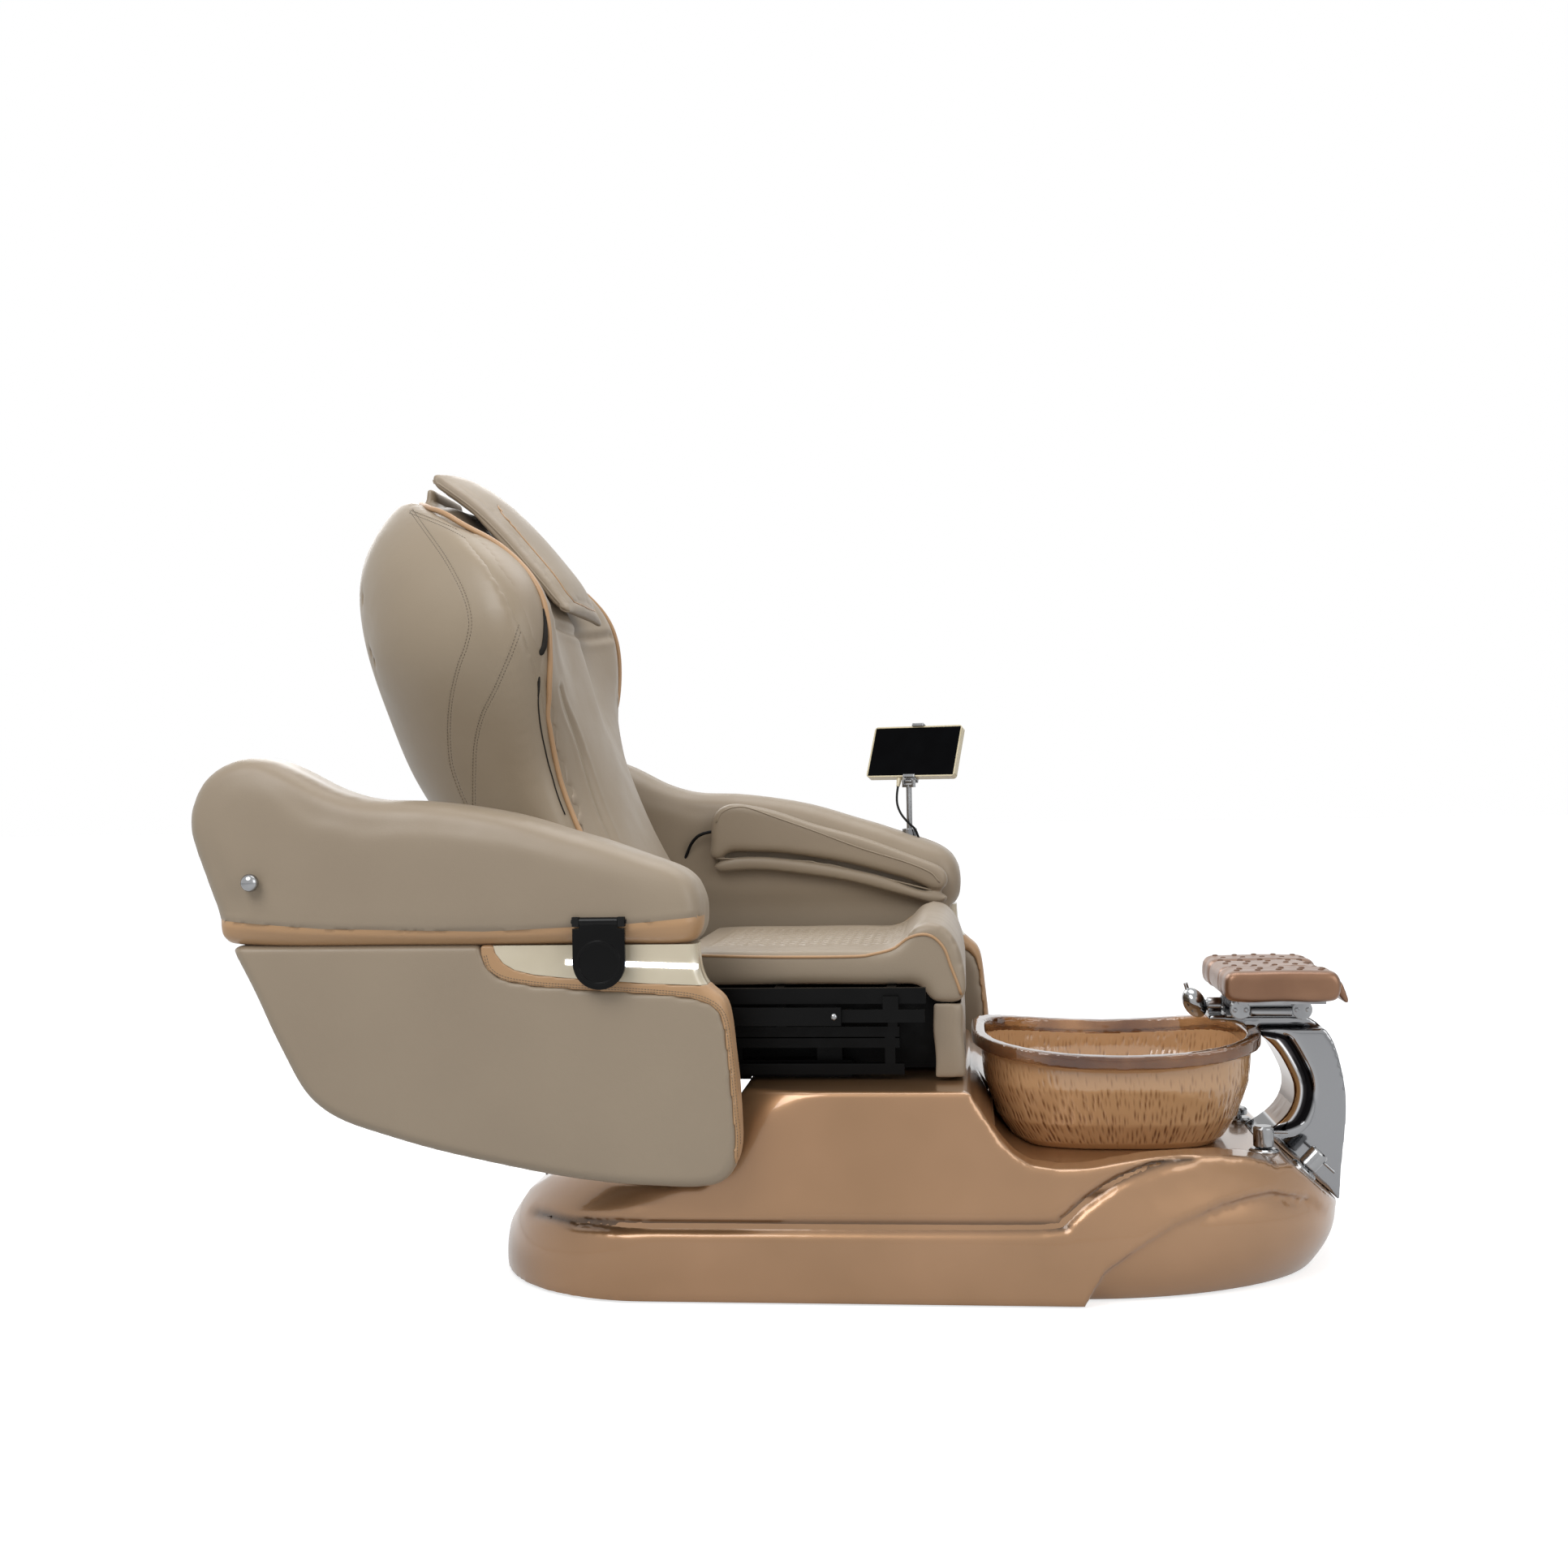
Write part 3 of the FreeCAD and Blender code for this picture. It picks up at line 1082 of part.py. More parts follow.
def arm_steel(side):
    """The arm's side plate with its rail member, and the middle rail member with its screw."""
    sign = -1 if side == "right" else 1
    shift = "- arm_travel" if side == "right" else ""
    half = "- arm_travel / 2" if side == "right" else ""

    def slab(label, x0, x1, near, far, z0, z1):
        low, high = (near, far) if sign > 0 else (f"-({far})", f"-({near})")
        return box(f"{label}_{side}", x0, x1, low, high, z0, z1)

    near = "seat_frame_half + 2 * rail_thick + 2 * rail_run"
    plate = slab("side_plate", f"-560 {shift}", f"40 {shift}", "arm_inner + skirt_thick",
                 "pod_inner - soft_gap",
                 "rail_mid_height - 20", "arm_low")
    flange = slab("side_flange", f"-380 {shift}", f"40 {shift}", "arm_inner", "arm_inner + skirt_thick",
                  "rail_mid_height - 20", "rail_mid_height + 20")
    member = slab("outer_rail", f"60 - rail_length {shift}", f"60 {shift}", near, "arm_inner",
                  "rail_mid_height - rail_narrow / 2", "rail_mid_height + rail_narrow / 2")
    named(fuse(f"arm_steel_{side}", [plate, flange, member]), f"arm_frame_{side}")
    start = "seat_frame_half + rail_thick + rail_run"
    middle = slab("middle_rail", f"96 - rail_length {half}", f"96 {half}", start, f"{start} + rail_thick",
                  "rail_mid_height - rail_wide / 2", "rail_mid_height + rail_wide / 2")
    return named(middle, f"arm_rail_{side}")


pieces = arm_pieces()

CUP_X = "-cup_x - arm_travel"
CUP_Y = "arm_outer + 6 + cup_pin + 1"


def cup_bracket():
    """A plate on the right arm with two ears and the tray's hinge pin."""
    plate = box("cup_plate", f"{CUP_X} - cup_width / 2", f"{CUP_X} + cup_width / 2", "-arm_outer - 3",
                "-arm_outer", "cup_pivot - 9", "cup_pivot + 22")
    parts = [plate]
    for end, x0 in (("rear", f"{CUP_X} - cup_width / 2"), ("front", f"{CUP_X} + cup_width / 2 - 10")):
        parts.append(box(f"cup_ear_{end}", x0, f"{x0} + 10", f"-({CUP_Y}) - 6", "-arm_outer",
                         "cup_pivot - 7", "cup_pivot + 7"))
    parts.append(rod("cup_hinge_pin", "cup_pin", "cup_width + 4", f"{CUP_X} - cup_width / 2 - 2",
                     f"-({CUP_Y})", "cup_pivot", "x"))
    return named(fuse("cup_bracket_parts", parts), "cup_bracket")


def cup_tray():
    """The folding tray: a flat tongue with a round end, a raised ring and a knuckle on the pin."""
    x = -S.cup_x - S.arm_travel
    y = -(S.arm_outer + 6 + S.cup_pin + 1)
    half = S.cup_width / 2
    top = S.cup_pivot - 10
    centre = S.cup_pivot - S.cup_length + half
    thick = S.cup_thick
    face = y - thick / 2
    straight = Part.makeBox(2 * half, thick, top - centre, V(x - half, face, centre))
    round_end = Part.makeCylinder(half, thick, V(x, face, centre), V(0, 1, 0))
    ring = Part.makeCylinder(half - 6, 2, V(x, face - 2, centre), V(0, 1, 0))
    dish = Part.makeCylinder(half - 10, 2, V(x, face - 2, centre), V(0, 1, 0))
    knuckle = Part.makeCylinder(S.cup_pin + 3.5, S.cup_width - 21, V(x - half + 10.5, y, S.cup_pivot),
                                V(1, 0, 0))
    web = Part.makeBox(S.cup_width - 21, thick, 11, V(x - half + 10.5, face, top - 1))
    bore = Part.makeCylinder(S.cup_pin + S.pin_clearance, S.cup_width + 20, V(x - half - 10, y, S.cup_pivot),
                             V(1, 0, 0))
    return straight.fuse(round_end).fuse(knuckle).fuse(web).cut(bore).fuse(ring).cut(dish)


cup_bracket()
computed("cup_tray", cup_tray())


# ---------------------------------------------------------------- tablet on the left arm

TABLET_TURN = FreeCAD.Rotation(V(0, 0, 1), -S.tablet_yaw).multiply(FreeCAD.Rotation(V(1, 0, 0),
                                                                                    -S.tablet_lean))
TILT_AT = V(S.tablet_x, S.tablet_y, S.post_high + 8)


def tablet_frame(shape, shift=V()):
    """Place a shape drawn about the tilt axis: width along X, face towards -Y, height along +Z."""
    shape.translate(shift)
    shape.Placement = FreeCAD.Placement(TILT_AT, TABLET_TURN).multiply(shape.Placement)
    return shape


def tablet_collar():
    """A collar that seats on the sloping arm and holds the post."""
    outer = Part.makeCylinder(S.collar_radius, S.collar_high - S.post_low + 20,
                              V(S.tablet_x, S.tablet_y, S.post_low - 20))
    bore = Part.makeCylinder(S.post_radius + S.pin_clearance, 200,
                             V(S.tablet_x, S.tablet_y, S.post_low - 100))
    return outer.cut(bore).cut(pieces["arm_upper"])


def tablet_post():
    """A round post with a fork for the tilt pin."""
    post = Part.makeCylinder(S.post_radius, S.post_high - S.post_low, V(S.tablet_x, S.tablet_y, S.post_low))
    block = Part.makeBox(24, 10, 6, V(-12, -5, -11))
    ears = [Part.makeBox(4, 10, 12, V(x, -5, -8)) for x in (-12, 8)]
    pin = Part.makeCylinder(2, 24, V(-12, 0, 0), V(1, 0, 0))
    fork = block.fuse(ears).fuse(pin)
    fork.Placement = FreeCAD.Placement(TILT_AT, FreeCAD.Rotation(V(0, 0, 1), -S.tablet_yaw))
    return post.fuse(fork)


def tablet_clip():
    """A spring clip round the tablet's back and edges, with an eye on the tilt pin."""
    back = S.tablet_thick / 2 + 6
    high = S.tablet_height + 14
    strap = Part.makeBox(24, 3, high - 4, V(-12, back, 4))
    low_lip = Part.makeBox(24, S.tablet_thick + 8, 2.5, V(-12, back - S.tablet_thick - 5, 7))
    low_hook = Part.makeBox(24, 2.5, 6, V(-12, back - S.tablet_thick - 5, 7))
    top_lip = Part.makeBox(24, S.tablet_thick + 8, 2.5, V(-12, back - S.tablet_thick - 5, high - 2.5))
    top_hook = Part.makeBox(24, 2.5, 6, V(-12, back - S.tablet_thick - 5, high - 6))
    arm = Part.makeBox(13, 4, 7, V(-6.5, -2, 0)).fuse(Part.makeBox(13, back + 3, 3, V(-6.5, 0, 4)))
    eye = Part.makeCylinder(4.2, 13, V(-6.5, 0, 0), V(1, 0, 0))
    solid = strap.fuse([low_lip, low_hook, top_lip, top_hook, arm, eye])
    return tablet_frame(solid.cut(Part.makeCylinder(2 + S.pin_clearance, 40, V(-20, 0, 0), V(1, 0, 0))))


def tablet_case():
    """A flat case with rounded corners and a recessed screen."""
    low = 9.8
    back = S.tablet_thick / 2 + 5.7
    case = Part.makeBox(S.tablet_width, S.tablet_thick, S.tablet_height,
                        V(-S.tablet_width / 2, back - S.tablet_thick, low))
    corners = [edge for edge in case.Edges if abs(edge.tangentAt(edge.FirstParameter).y) > 0.9]
    case = case.makeFillet(7, corners)
    recess = Part.makeBox(S.tablet_width - 6, 2, S.tablet_height - 6,
                          V(-S.tablet_width / 2 + 3, back - S.tablet_thick - 0.5, low + 3))
    return case.cut(recess)


def tablet_screen():
    """The glass over the whole front of the case."""
    back = S.tablet_thick / 2 + 5.7
    return Part.makeBox(S.tablet_width - 6.4, 1.4, S.tablet_height - 6.4,
                        V(-S.tablet_width / 2 + 3.2, back - S.tablet_thick + 0.1, 13))


GLAND = V(-24, S.tablet_thick / 2 + 5.7 - S.tablet_thick / 2, 9.8)


def tablet_gland():
    """A tapered strain relief below the case."""
    return revolved([(0, 0), (5.2, 0), (5.2, 2), (S.cord_radius + 1, 18), (0, 18)], GLAND, V(0, 0, -1))


computed("tablet_collar", tablet_collar())
computed("tablet_post", tablet_post())
computed("tablet_clip", tablet_clip())
cord_top = FreeCAD.Placement(TILT_AT, TABLET_TURN).multVec(GLAND + V(0, 0, -18))


def level_block(base_height):
    """A block about the cord's upper end, whose base lies at a height, to end two pieces level there."""
    return Part.makeBox(20, 20, 10, V(cord_top.x - 10, cord_top.y - 10, base_height))


case = tablet_frame(tablet_case().fuse(tablet_gland()))
computed("tablet_case", case.cut(level_block(cord_top.z + S.seam_gap - 10)))
computed("tablet_screen", tablet_frame(tablet_screen()))


def tube(route, radius):
    """A cord's solid: straight runs joined by arcs as wide as the runs allow."""
    runs = [b - a for a, b in zip(route, route[1:])]
    edges = []
    start = route[0]
    for here, before, after in zip(route[1:-1], runs, runs[1:]):
        turn = before.getAngle(after)
        reach = 0.45 * min(before.Length, after.Length)
        into = here - V(before).normalize() * reach
        out = here + V(after).normalize() * reach
        middle = (into + out) * 0.5 - here
        bend_radius = reach / math.tan(turn / 2)
        sag = bend_radius / math.cos(turn / 2) - bend_radius
        edges.append(Part.LineSegment(start, into).toShape())
        edges.append(Part.Arc(into, here + middle.normalize() * sag, out).toShape())
        start = out
    edges.append(Part.LineSegment(start, route[-1]).toShape())
    path = Part.Wire(edges)
    ring = Part.Wire([Part.Circle(route[0], runs[0], radius).toShape()])
    solid = path.makePipeShell([ring], True, False)
    if len(edges) > 1:
        bends = [edge.Curve.Radius for edge in edges[1::2]]
        print("cord length", round(path.Length, 1), "bend radii",
              [round(bend_radius, 1) for bend_radius in bends])
    return solid


cord_down = TABLET_TURN.multVec(V(0, 0, -1))
TABLET_CORD = [cord_top, cord_top + cord_down * 24, V(-24, 384, 722), V(-6, 376, 700), V(9, 379, 688),
               V(14, 382, 666)]
cord_stub = Part.makeCylinder(S.cord_radius, 2, cord_top, -cord_down)
computed("tablet_cord", tube(TABLET_CORD, S.cord_radius).fuse(cord_stub).cut(level_block(cord_top.z)))
computed("sleeve_hose", tube(SLEEVE_HOSE, S.hose_radius))

socket = Part.makeCylinder(S.post_radius + S.pin_clearance, 60, V(S.tablet_x, S.tablet_y, S.post_low))
entry = tube(TABLET_CORD[-2:], S.cord_radius + S.seam_gap)
holes = {("arm_upper", "left"): [socket, entry, made("sleeve_hose")],
         ("sleeve_pads", "left"): [made("sleeve_hose")]}
for side in ("right", "left"):
    arm_steel(side)
    for name, shape in pieces.items():
        for hole in holes.get((name, side), []):
            shape = shape.cut(hole)
        computed(f"{name}_{side}", sided(shape, side))


# ---------------------------------------------------------------- backrest

# height, rear face, wing edge, front of the pad at the middle, half width
BACK = [(520, -650, -430, -366, 250), (600, -705, -455, -393, 258), (700, -765, -505, -449, 265),
        (800, -830, -541, -490, 270), (900, -868, -549, -528, 306), (1000, -898, -547, -562, 342),
        (1100, -915, -566, -608, 325), (1180, -905, -650, -678, 262), (1230, -880, -745, -725, 190),
        (1262, -850, -810, -765, 120)]


def mirrored(half_points, z):
    """A closed plan section at height z from the points of its left half."""
    other = [(x, -y) for x, y in reversed(half_points) if abs(y) > 1]
    return [V(x, y, z) for x, y in half_points + other]


def back_section(z, rear, wing, front, half):
    """Plan section: pad bulging to the front, rolled wings and a rounded back."""
    deep = wing - rear
    left = [(front, 0), (front - 0.25 * (front - wing), 0.5 * half),
            (wing + 0.04 * (front - wing), 0.86 * half),
            (wing - 0.1 * deep, half), (wing - 0.35 * deep, 0.97 * half), (rear + 0.2 * deep, 0.72 * half),
            (rear, 0.3 * half)]
    curve = Part.BSplineCurve()
    curve.interpolate(Points=mirrored(left, z), PeriodicFlag=True)
    return Part.Wire([curve.toShape()])


def behind_seam(clear):
    """All that lies behind the seam between the backrest's pad and its shell."""
    rings = []
    levels = [(470,) + BACK[0][1:]] + BACK[1:-1] + [(1262, -850, -800, -765, 120),
                                                    (1300, -830, -800, -790, 90)]
    for z, rear, wing, front, half in levels:
        depth = min(S.back_pad_depth, front - rear - 20)
        left = [(front - depth - clear, 0), (front - depth - clear, 0.5 * half),
                (min(wing - 8, front - 8) - clear, half - 20), (min(wing - 8, front - 8) - clear, half + 40),
                (rear - 40, half + 40)]
        ring = mirrored(left, z)
        rings.append(Part.makePolygon(ring + ring[:1]))
    return Part.makeLoft(rings, True, False)


def back_hollow():
    """The room inside the backrest shell, open at the bottom."""
    wall = S.shell_wall
    rings = []
    levels = [(480,) + BACK[0][1:]] + BACK[1:8] + [(1214, -888, -720, -713, 205)]
    for z, rear, wing, front, half in levels:
        face = front - S.back_pad_depth - wall
        left = [(face, 0), (min(face, wing - 3 * wall), half - 4 * wall), (wing - 4 * wall, half - 2 * wall),
                (rear + 0.45 * (wing - rear), 0.88 * half - wall), (rear + 3 * wall, 0.6 * half - wall),
                (rear + wall, 0.25 * half)]
        ring = mirrored(left, z)
        rings.append(Part.makePolygon(ring + ring[:1]))
    return Part.makeLoft(rings, True, True)


LEAN = FreeCAD.Placement(V(-520, 0, 600), FreeCAD.Rotation(V(0, 1, 0), -S.back_lean))


def leaned(shape):
    """Move a shape drawn along the backrest (Z up the back, X out of it) to its place."""
    shape.Placement = LEAN.multiply(shape.Placement)
    return shape


def leg_room():
    """Room in the shell for the legs and their cranked links."""
    crank = [(-436, 460), (-436, 516), (-470, 548), (-480, 640), (-560, 640), (-560, 460)]
    low = S.leg_inner - 4
    high = S.leg_inner + S.leg_width + S.soft_gap
    rooms = [prism(crank, low, high), prism(crank, -high, -low)]
    rooms += [leaned(Part.makeBox(44, high - low, 600, V(-20, y, -20))) for y in (low, -high)]
    return rooms[0].fuse(rooms[1:])


def window():
    """The opening in the shell's front through which the rollers press on the pad."""
    return leaned(Part.makeBox(200, 2 * S.window_half, S.window_high - S.window_low,
                               V(0, -S.window_half, S.window_low)))


def back_frame():
    """Two legs, cross bars, cranked links down to the hinge pins and two tracks."""
    solids = []
    near = S.leg_inner
    far = S.leg_inner + S.leg_width
    for y in (near, -far):
        solids.append(leaned(Part.makeBox(28, S.leg_width, 560, V(-14, y, 0))))
    for z in (20, 270, 520):
        solids.append(leaned(Part.makeBox(16, 2 * far, 30, V(-14, -far, z))))
    for y in (S.track_half, -S.track_half - 12):
        solids.append(leaned(Part.makeBox(12, 12, 530, V(2, y, 20))))
        solids.append(leaned(Part.makeBox(12, 12, 460, V(14, y, 60))))
    crank = [(-404, 420), (-374, 420), (-374, 450), (-440, 500), (-478, 530), (-500, 606), (-534, 604),
             (-512, 524), (-450, 476), (-404, 452)]
    for y in (near, -far):
        solids.append(prism(crank, y, y + S.leg_width))
    for y in (near + 4, -S.carriage_half - 22):
        length = S.carriage_half + 22 - near - 4
        solids.append(Part.makeCylinder(S.hinge_radius, length, V(-S.hinge_x, y, S.hinge_z), V(0, 1, 0)))
    frame = solids[0].fuse(solids[1:])
    bore = Part.makeCylinder(S.motor_shaft + S.pin_clearance, 800, V(-S.hinge_x, -400, S.hinge_z), V(0, 1, 0))
    inside = Part.makeBox(80, 2 * far - 10, 80, V(-S.hinge_x - 40, -far + 5, S.hinge_z - 40))
    return frame.cut(bore.common(inside))


def massage_carriage():
    """A plate that runs between the tracks, with two axles and four rollers."""
    gap = S.track_half - S.rail_run
    plate = Part.makeBox(8, 2 * gap, 80, V(14.3, -gap, 80))
    lugs = [Part.makeBox(16, 8, 16, V(20, y, z - 8)) for y in (-62, 54) for z in (100, 140)]
    axles = [Part.makeCylinder(5, 124, V(30, -62, z), V(0, 1, 0)) for z in (100, 140)]
    rollers = [Part.makeCylinder(S.roller_radius, 20, V(30, y, z),
                                 V(0, 1, 0)) for y in (-50, 30) for z in (100, 140)]
    return leaned(plate.fuse(lugs + axles + rollers))


def pillow_outline():
    """Side outline of the head pillow, thick in the middle and thin at both ends."""
    return [(-784, 1300), (-780, 1316), (-768, 1324), (-748, 1318), (-719, 1299), (-690, 1276), (-662, 1250),
            (-634, 1221), (-606, 1189), (-578, 1155), (-552, 1119), (-536, 1086), (-532, 1070), (-541, 1061),
            (-556, 1068), (-578, 1094), (-604, 1124), (-632, 1153), (-658, 1184), (-686, 1214), (-710, 1240),
            (-738, 1263), (-766, 1283)]


def recline_motor():
    """A tube motor on the hinge line, with a shaft into each link and feet to the seat frame's rear bar."""
    half = S.leg_inner - 6
    tube_body = Part.makeCylinder(S.motor_radius, 2 * half, V(-S.hinge_x, -half, S.hinge_z), V(0, 1, 0))
    reach = S.leg_inner + 16
    shaft = Part.makeCylinder(S.motor_shaft, 2 * reach, V(-S.hinge_x, -reach, S.hinge_z), V(0, 1, 0))
    feet = [Part.makeBox(30, 24, 12, V(-S.hinge_x, y, S.hinge_z + 4)) for y in (-132, 108)]
    return tube_body.fuse([shaft] + feet)


full_back = Part.makeLoft([back_section(*level) for level in BACK], True, False)
tab = Part.makeBox(15, 180, 40, V(-800, -90, 1250))
hollow = back_hollow()
computed("back_pad", full_back.cut(behind_seam(0)).cut(tab))
shell_form = full_back.common(behind_seam(S.soft_gap)).cut(hollow)
computed("back_shell", shell_form.cut(window()).cut(leg_room()).fuse(tab))
computed("back_frame", back_frame())
computed("massage_carriage", massage_carriage())
pillow = extruded(shifted(pillow_outline(), S.soft_gap), -S.pillow_half, S.pillow_half)
sides = [edge for edge in pillow.Edges if edge.BoundBox.YLength < 1]
computed("pillow", pillow.makeFillet(S.pillow_round, sides))
computed("recline_motor", recline_motor())




# ---------------------------------------------------------------- check and export

doc.recompute()
for thing in doc.Objects:
    if {"Invalid", "Error"} & set(thing.State):
        raise RuntimeError(f"{thing.Label} failed: {thing.State}")
for node, thing in nodes.items():
    if thing.Shape.isNull() or not thing.Shape.isValid() or not thing.Shape.Solids:
        raise RuntimeError(f"{node} has no valid solid")
os.makedirs("parts", exist_ok=True)
for node, thing in nodes.items():
    thing.Shape.exportStep(f"parts/{node}.step")
print(len(nodes), "nodes written")
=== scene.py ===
"""Pedicure spa chair: materials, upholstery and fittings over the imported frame.  Metres, +X to the
foot bowl, +Y to the sitter's left, +Z up."""

import math

import bmesh
import bpy
import numpy as np
from mathutils import Matrix, Vector
from mathutils.bvhtree import BVHTree


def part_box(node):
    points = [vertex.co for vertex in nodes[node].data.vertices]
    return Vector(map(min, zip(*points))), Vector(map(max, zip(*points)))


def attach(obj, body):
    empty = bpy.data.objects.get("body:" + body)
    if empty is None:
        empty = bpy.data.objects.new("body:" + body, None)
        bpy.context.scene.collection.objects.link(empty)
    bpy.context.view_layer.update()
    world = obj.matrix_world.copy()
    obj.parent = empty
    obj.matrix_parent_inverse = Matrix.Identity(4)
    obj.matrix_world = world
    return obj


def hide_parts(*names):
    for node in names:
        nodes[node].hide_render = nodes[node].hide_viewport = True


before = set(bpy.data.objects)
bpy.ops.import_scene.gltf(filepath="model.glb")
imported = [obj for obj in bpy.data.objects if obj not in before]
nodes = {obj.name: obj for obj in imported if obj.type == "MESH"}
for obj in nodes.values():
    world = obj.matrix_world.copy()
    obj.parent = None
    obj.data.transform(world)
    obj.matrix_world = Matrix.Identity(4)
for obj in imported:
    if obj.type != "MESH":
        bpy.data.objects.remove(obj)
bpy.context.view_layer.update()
MM = 0.001


# ---------------------------------------------------------------- camera

def look_from(place, yaw, roll, lens):
    """A camera at place that looks along +Y turned left by yaw, then rolled."""
    data = bpy.data.cameras.new("camera")
    data.lens, data.sensor_width = lens, 36.0
    camera = bpy.data.objects.new("camera", data)
    bpy.context.scene.collection.objects.link(camera)
    ahead = Vector((-math.sin(yaw), math.cos(yaw), 0))
    level = Vector((math.cos(yaw), math.sin(yaw), 0))
    up = Vector((0, 0, 1))
    right = level * math.cos(roll) - up * math.sin(roll)
    above = level * math.sin(roll) + up * math.cos(roll)
    turn = Matrix((right, above, -ahead)).transposed().to_4x4()
    camera.matrix_world = Matrix.Translation(place) @ turn
    bpy.context.scene.camera = camera


look_from(Vector((0.09684, -3.100, 0.779)), math.radians(5.6), math.radians(0.9), 41.7)


# ---------------------------------------------------------------- cords

def route_spline(name, points, radius):
    """A round cord whose smooth line has the route's points as its control points."""
    curve = bpy.data.curves.new(name, "CURVE")
    curve.dimensions = "3D"
    curve.bevel_depth, curve.bevel_resolution, curve.resolution_u = radius, 5, 16
    curve.use_fill_caps = True
    spline = curve.splines.new("NURBS")
    spline.points.add(len(points) - 1)
    for point, place in zip(spline.points, points):
        point.co = (*place, 1.0)
    spline.order_u = 3
    spline.use_endpoint_u = True
    piece = bpy.data.objects.new(name, curve)
    bpy.context.scene.collection.objects.link(piece)
    return piece


# ---------------------------------------------------------------- materials

def linear(code):
    """Linear RGBA of an sRGB hex colour such as "#A88463"."""
    channels = np.array([int(code[i:i + 2], 16) for i in (1, 3, 5)]) / 255.0
    value = np.where(channels <= 0.04045, channels / 12.92, ((channels + 0.055) / 1.055) ** 2.4)
    return (*value.tolist(), 1.0)


def add(tree, kind, inputs=(), **settings):
    """Add a node with its settings, and set or link its inputs given as {socket: value or socket}."""
    made = tree.nodes.new(kind)
    for name, value in settings.items():
        setattr(made, name, value)
    for socket, value in dict(inputs).items():
        if isinstance(value, bpy.types.NodeSocket):
            tree.links.new(value, made.inputs[socket])
        else:
            made.inputs[socket].default_value = value
    return made


def material(name, **sockets):
    """A new material with a Principled shader whose sockets are set by name, underscores for spaces."""
    made = bpy.data.materials.new(name)
    made.use_nodes = True
    tree = made.node_tree
    shader = tree.nodes["Principled BSDF"]
    for socket, value in sockets.items():
        shader.inputs[socket.replace("_", " ")].default_value = value
    place = add(tree, "ShaderNodeTexCoord").outputs["Object"]
    return made, tree, shader, place


def tinted(tree, shader, place, dark, light, size, detail=3.0, low=0.35, high=0.65):
    """Base colour that drifts between two colours over patches of the given size in metres."""
    noise = add(tree, "ShaderNodeTexNoise", {"Vector": place, "Scale": 1 / size, "Detail": detail})
    ramp = add(tree, "ShaderNodeValToRGB", {"Fac": noise.outputs["Fac"]})
    ramp.color_ramp.elements[0].position, ramp.color_ramp.elements[1].position = low, high
    ramp.color_ramp.elements[0].color, ramp.color_ramp.elements[1].color = linear(dark), linear(light)
    tree.links.new(ramp.outputs["Color"], shader.inputs["Base Color"])
    return ramp


def worn(tree, shader, place, low, high, size):
    """Roughness that drifts between two values over patches of the given size in metres."""
    noise = add(tree, "ShaderNodeTexNoise", {"Vector": place, "Scale": 1 / size, "Detail": 4.0})
    spread = add(tree, "ShaderNodeMapRange", {"Value": noise.outputs["Fac"], "From Min": 0.3, "From Max": 0.7,
                                              "To Min": low, "To Max": high})
    tree.links.new(spread.outputs["Result"], shader.inputs["Roughness"])


def raised(tree, shader, height, strength, distance):
    """Bump from a height socket, over whatever bump is there already."""
    bump = add(tree, "ShaderNodeBump", {"Height": height, "Strength": strength, "Distance": distance})
    before = shader.inputs["Normal"].links
    if before:
        tree.links.new(before[0].from_socket, bump.inputs["Normal"])
    tree.links.new(bump.outputs["Normal"], shader.inputs["Normal"])


def own_value(tree, name):
    """A number stored on each of the piece's own points."""
    return add(tree, "ShaderNodeAttribute", attribute_name=name).outputs["Fac"]


def rounded(tree, shader, radius):
    """Soften the shading of sharp edges, as a moulded or polished part's edges are never sharp."""
    edge = add(tree, "ShaderNodeBevel", {"Radius": radius}, samples=4)
    tree.links.new(edge.outputs["Normal"], shader.inputs["Normal"])


def leather(name, dark, light, roughness):
    """Embossed upholstery leather: 1.6 mm pebble grain pressed by a roller, soft sheen, uneven dye."""
    made, tree, shader, place = material(name, Specular_IOR_Level=0.45, Sheen_Weight=0.06, Sheen_Roughness=0.4)
    tinted(tree, shader, place, dark, light, 240 * MM, 2.0, 0.2, 0.8)
    worn(tree, shader, place, roughness - 0.05, roughness + 0.06, 60 * MM)
    pebble = add(tree, "ShaderNodeTexVoronoi", {"Vector": place, "Scale": 1 / (1.6 * MM)},
                 feature="SMOOTH_F1")
    raised(tree, shader, pebble.outputs["Distance"], 0.22, 0.35 * MM)
    crease = add(tree, "ShaderNodeTexNoise", {"Vector": place, "Scale": 1 / (18 * MM), "Detail": 5.0})
    raised(tree, shader, crease.outputs["Fac"], 0.12, 1.5 * MM)
    return made


def pearl_shell():
    """Gel-coated shell in pearl rose gold: fine mica in the lacquer under a clear, polished coat."""
    made, tree, shader, place = material("pearl gelcoat", Metallic=0.62, Coat_Weight=0.8, Coat_Roughness=0.06,
                                         Roughness=0.30)
    rounded(tree, shader, 5 * MM)
    tinted(tree, shader, place, "#94704D", "#A07A57", 260 * MM)
    body = shader.inputs["Base Color"].links[0].from_socket
    # painted shade: the gelcoat's colour turns dark brown along the side groove, by the groove value the shell keeps
    # for each point
    painted_shade = add(tree, "ShaderNodeMix", {"Factor": own_value(tree, "groove"), 6: body, 7: linear("#3E2810")},
               data_type="RGBA")
    tree.links.new(painted_shade.outputs[2], shader.inputs["Base Color"])
    mica = add(tree, "ShaderNodeTexVoronoi", {"Vector": place, "Scale": 1 / (1.2 * MM)})
    raised(tree, shader, mica.outputs["Distance"], 0.02, 0.2 * MM)
    sag = add(tree, "ShaderNodeTexNoise", {"Vector": place, "Scale": 1 / (70 * MM), "Detail": 1.0})
    raised(tree, shader, sag.outputs["Fac"], 0.05, 3 * MM)
    return made


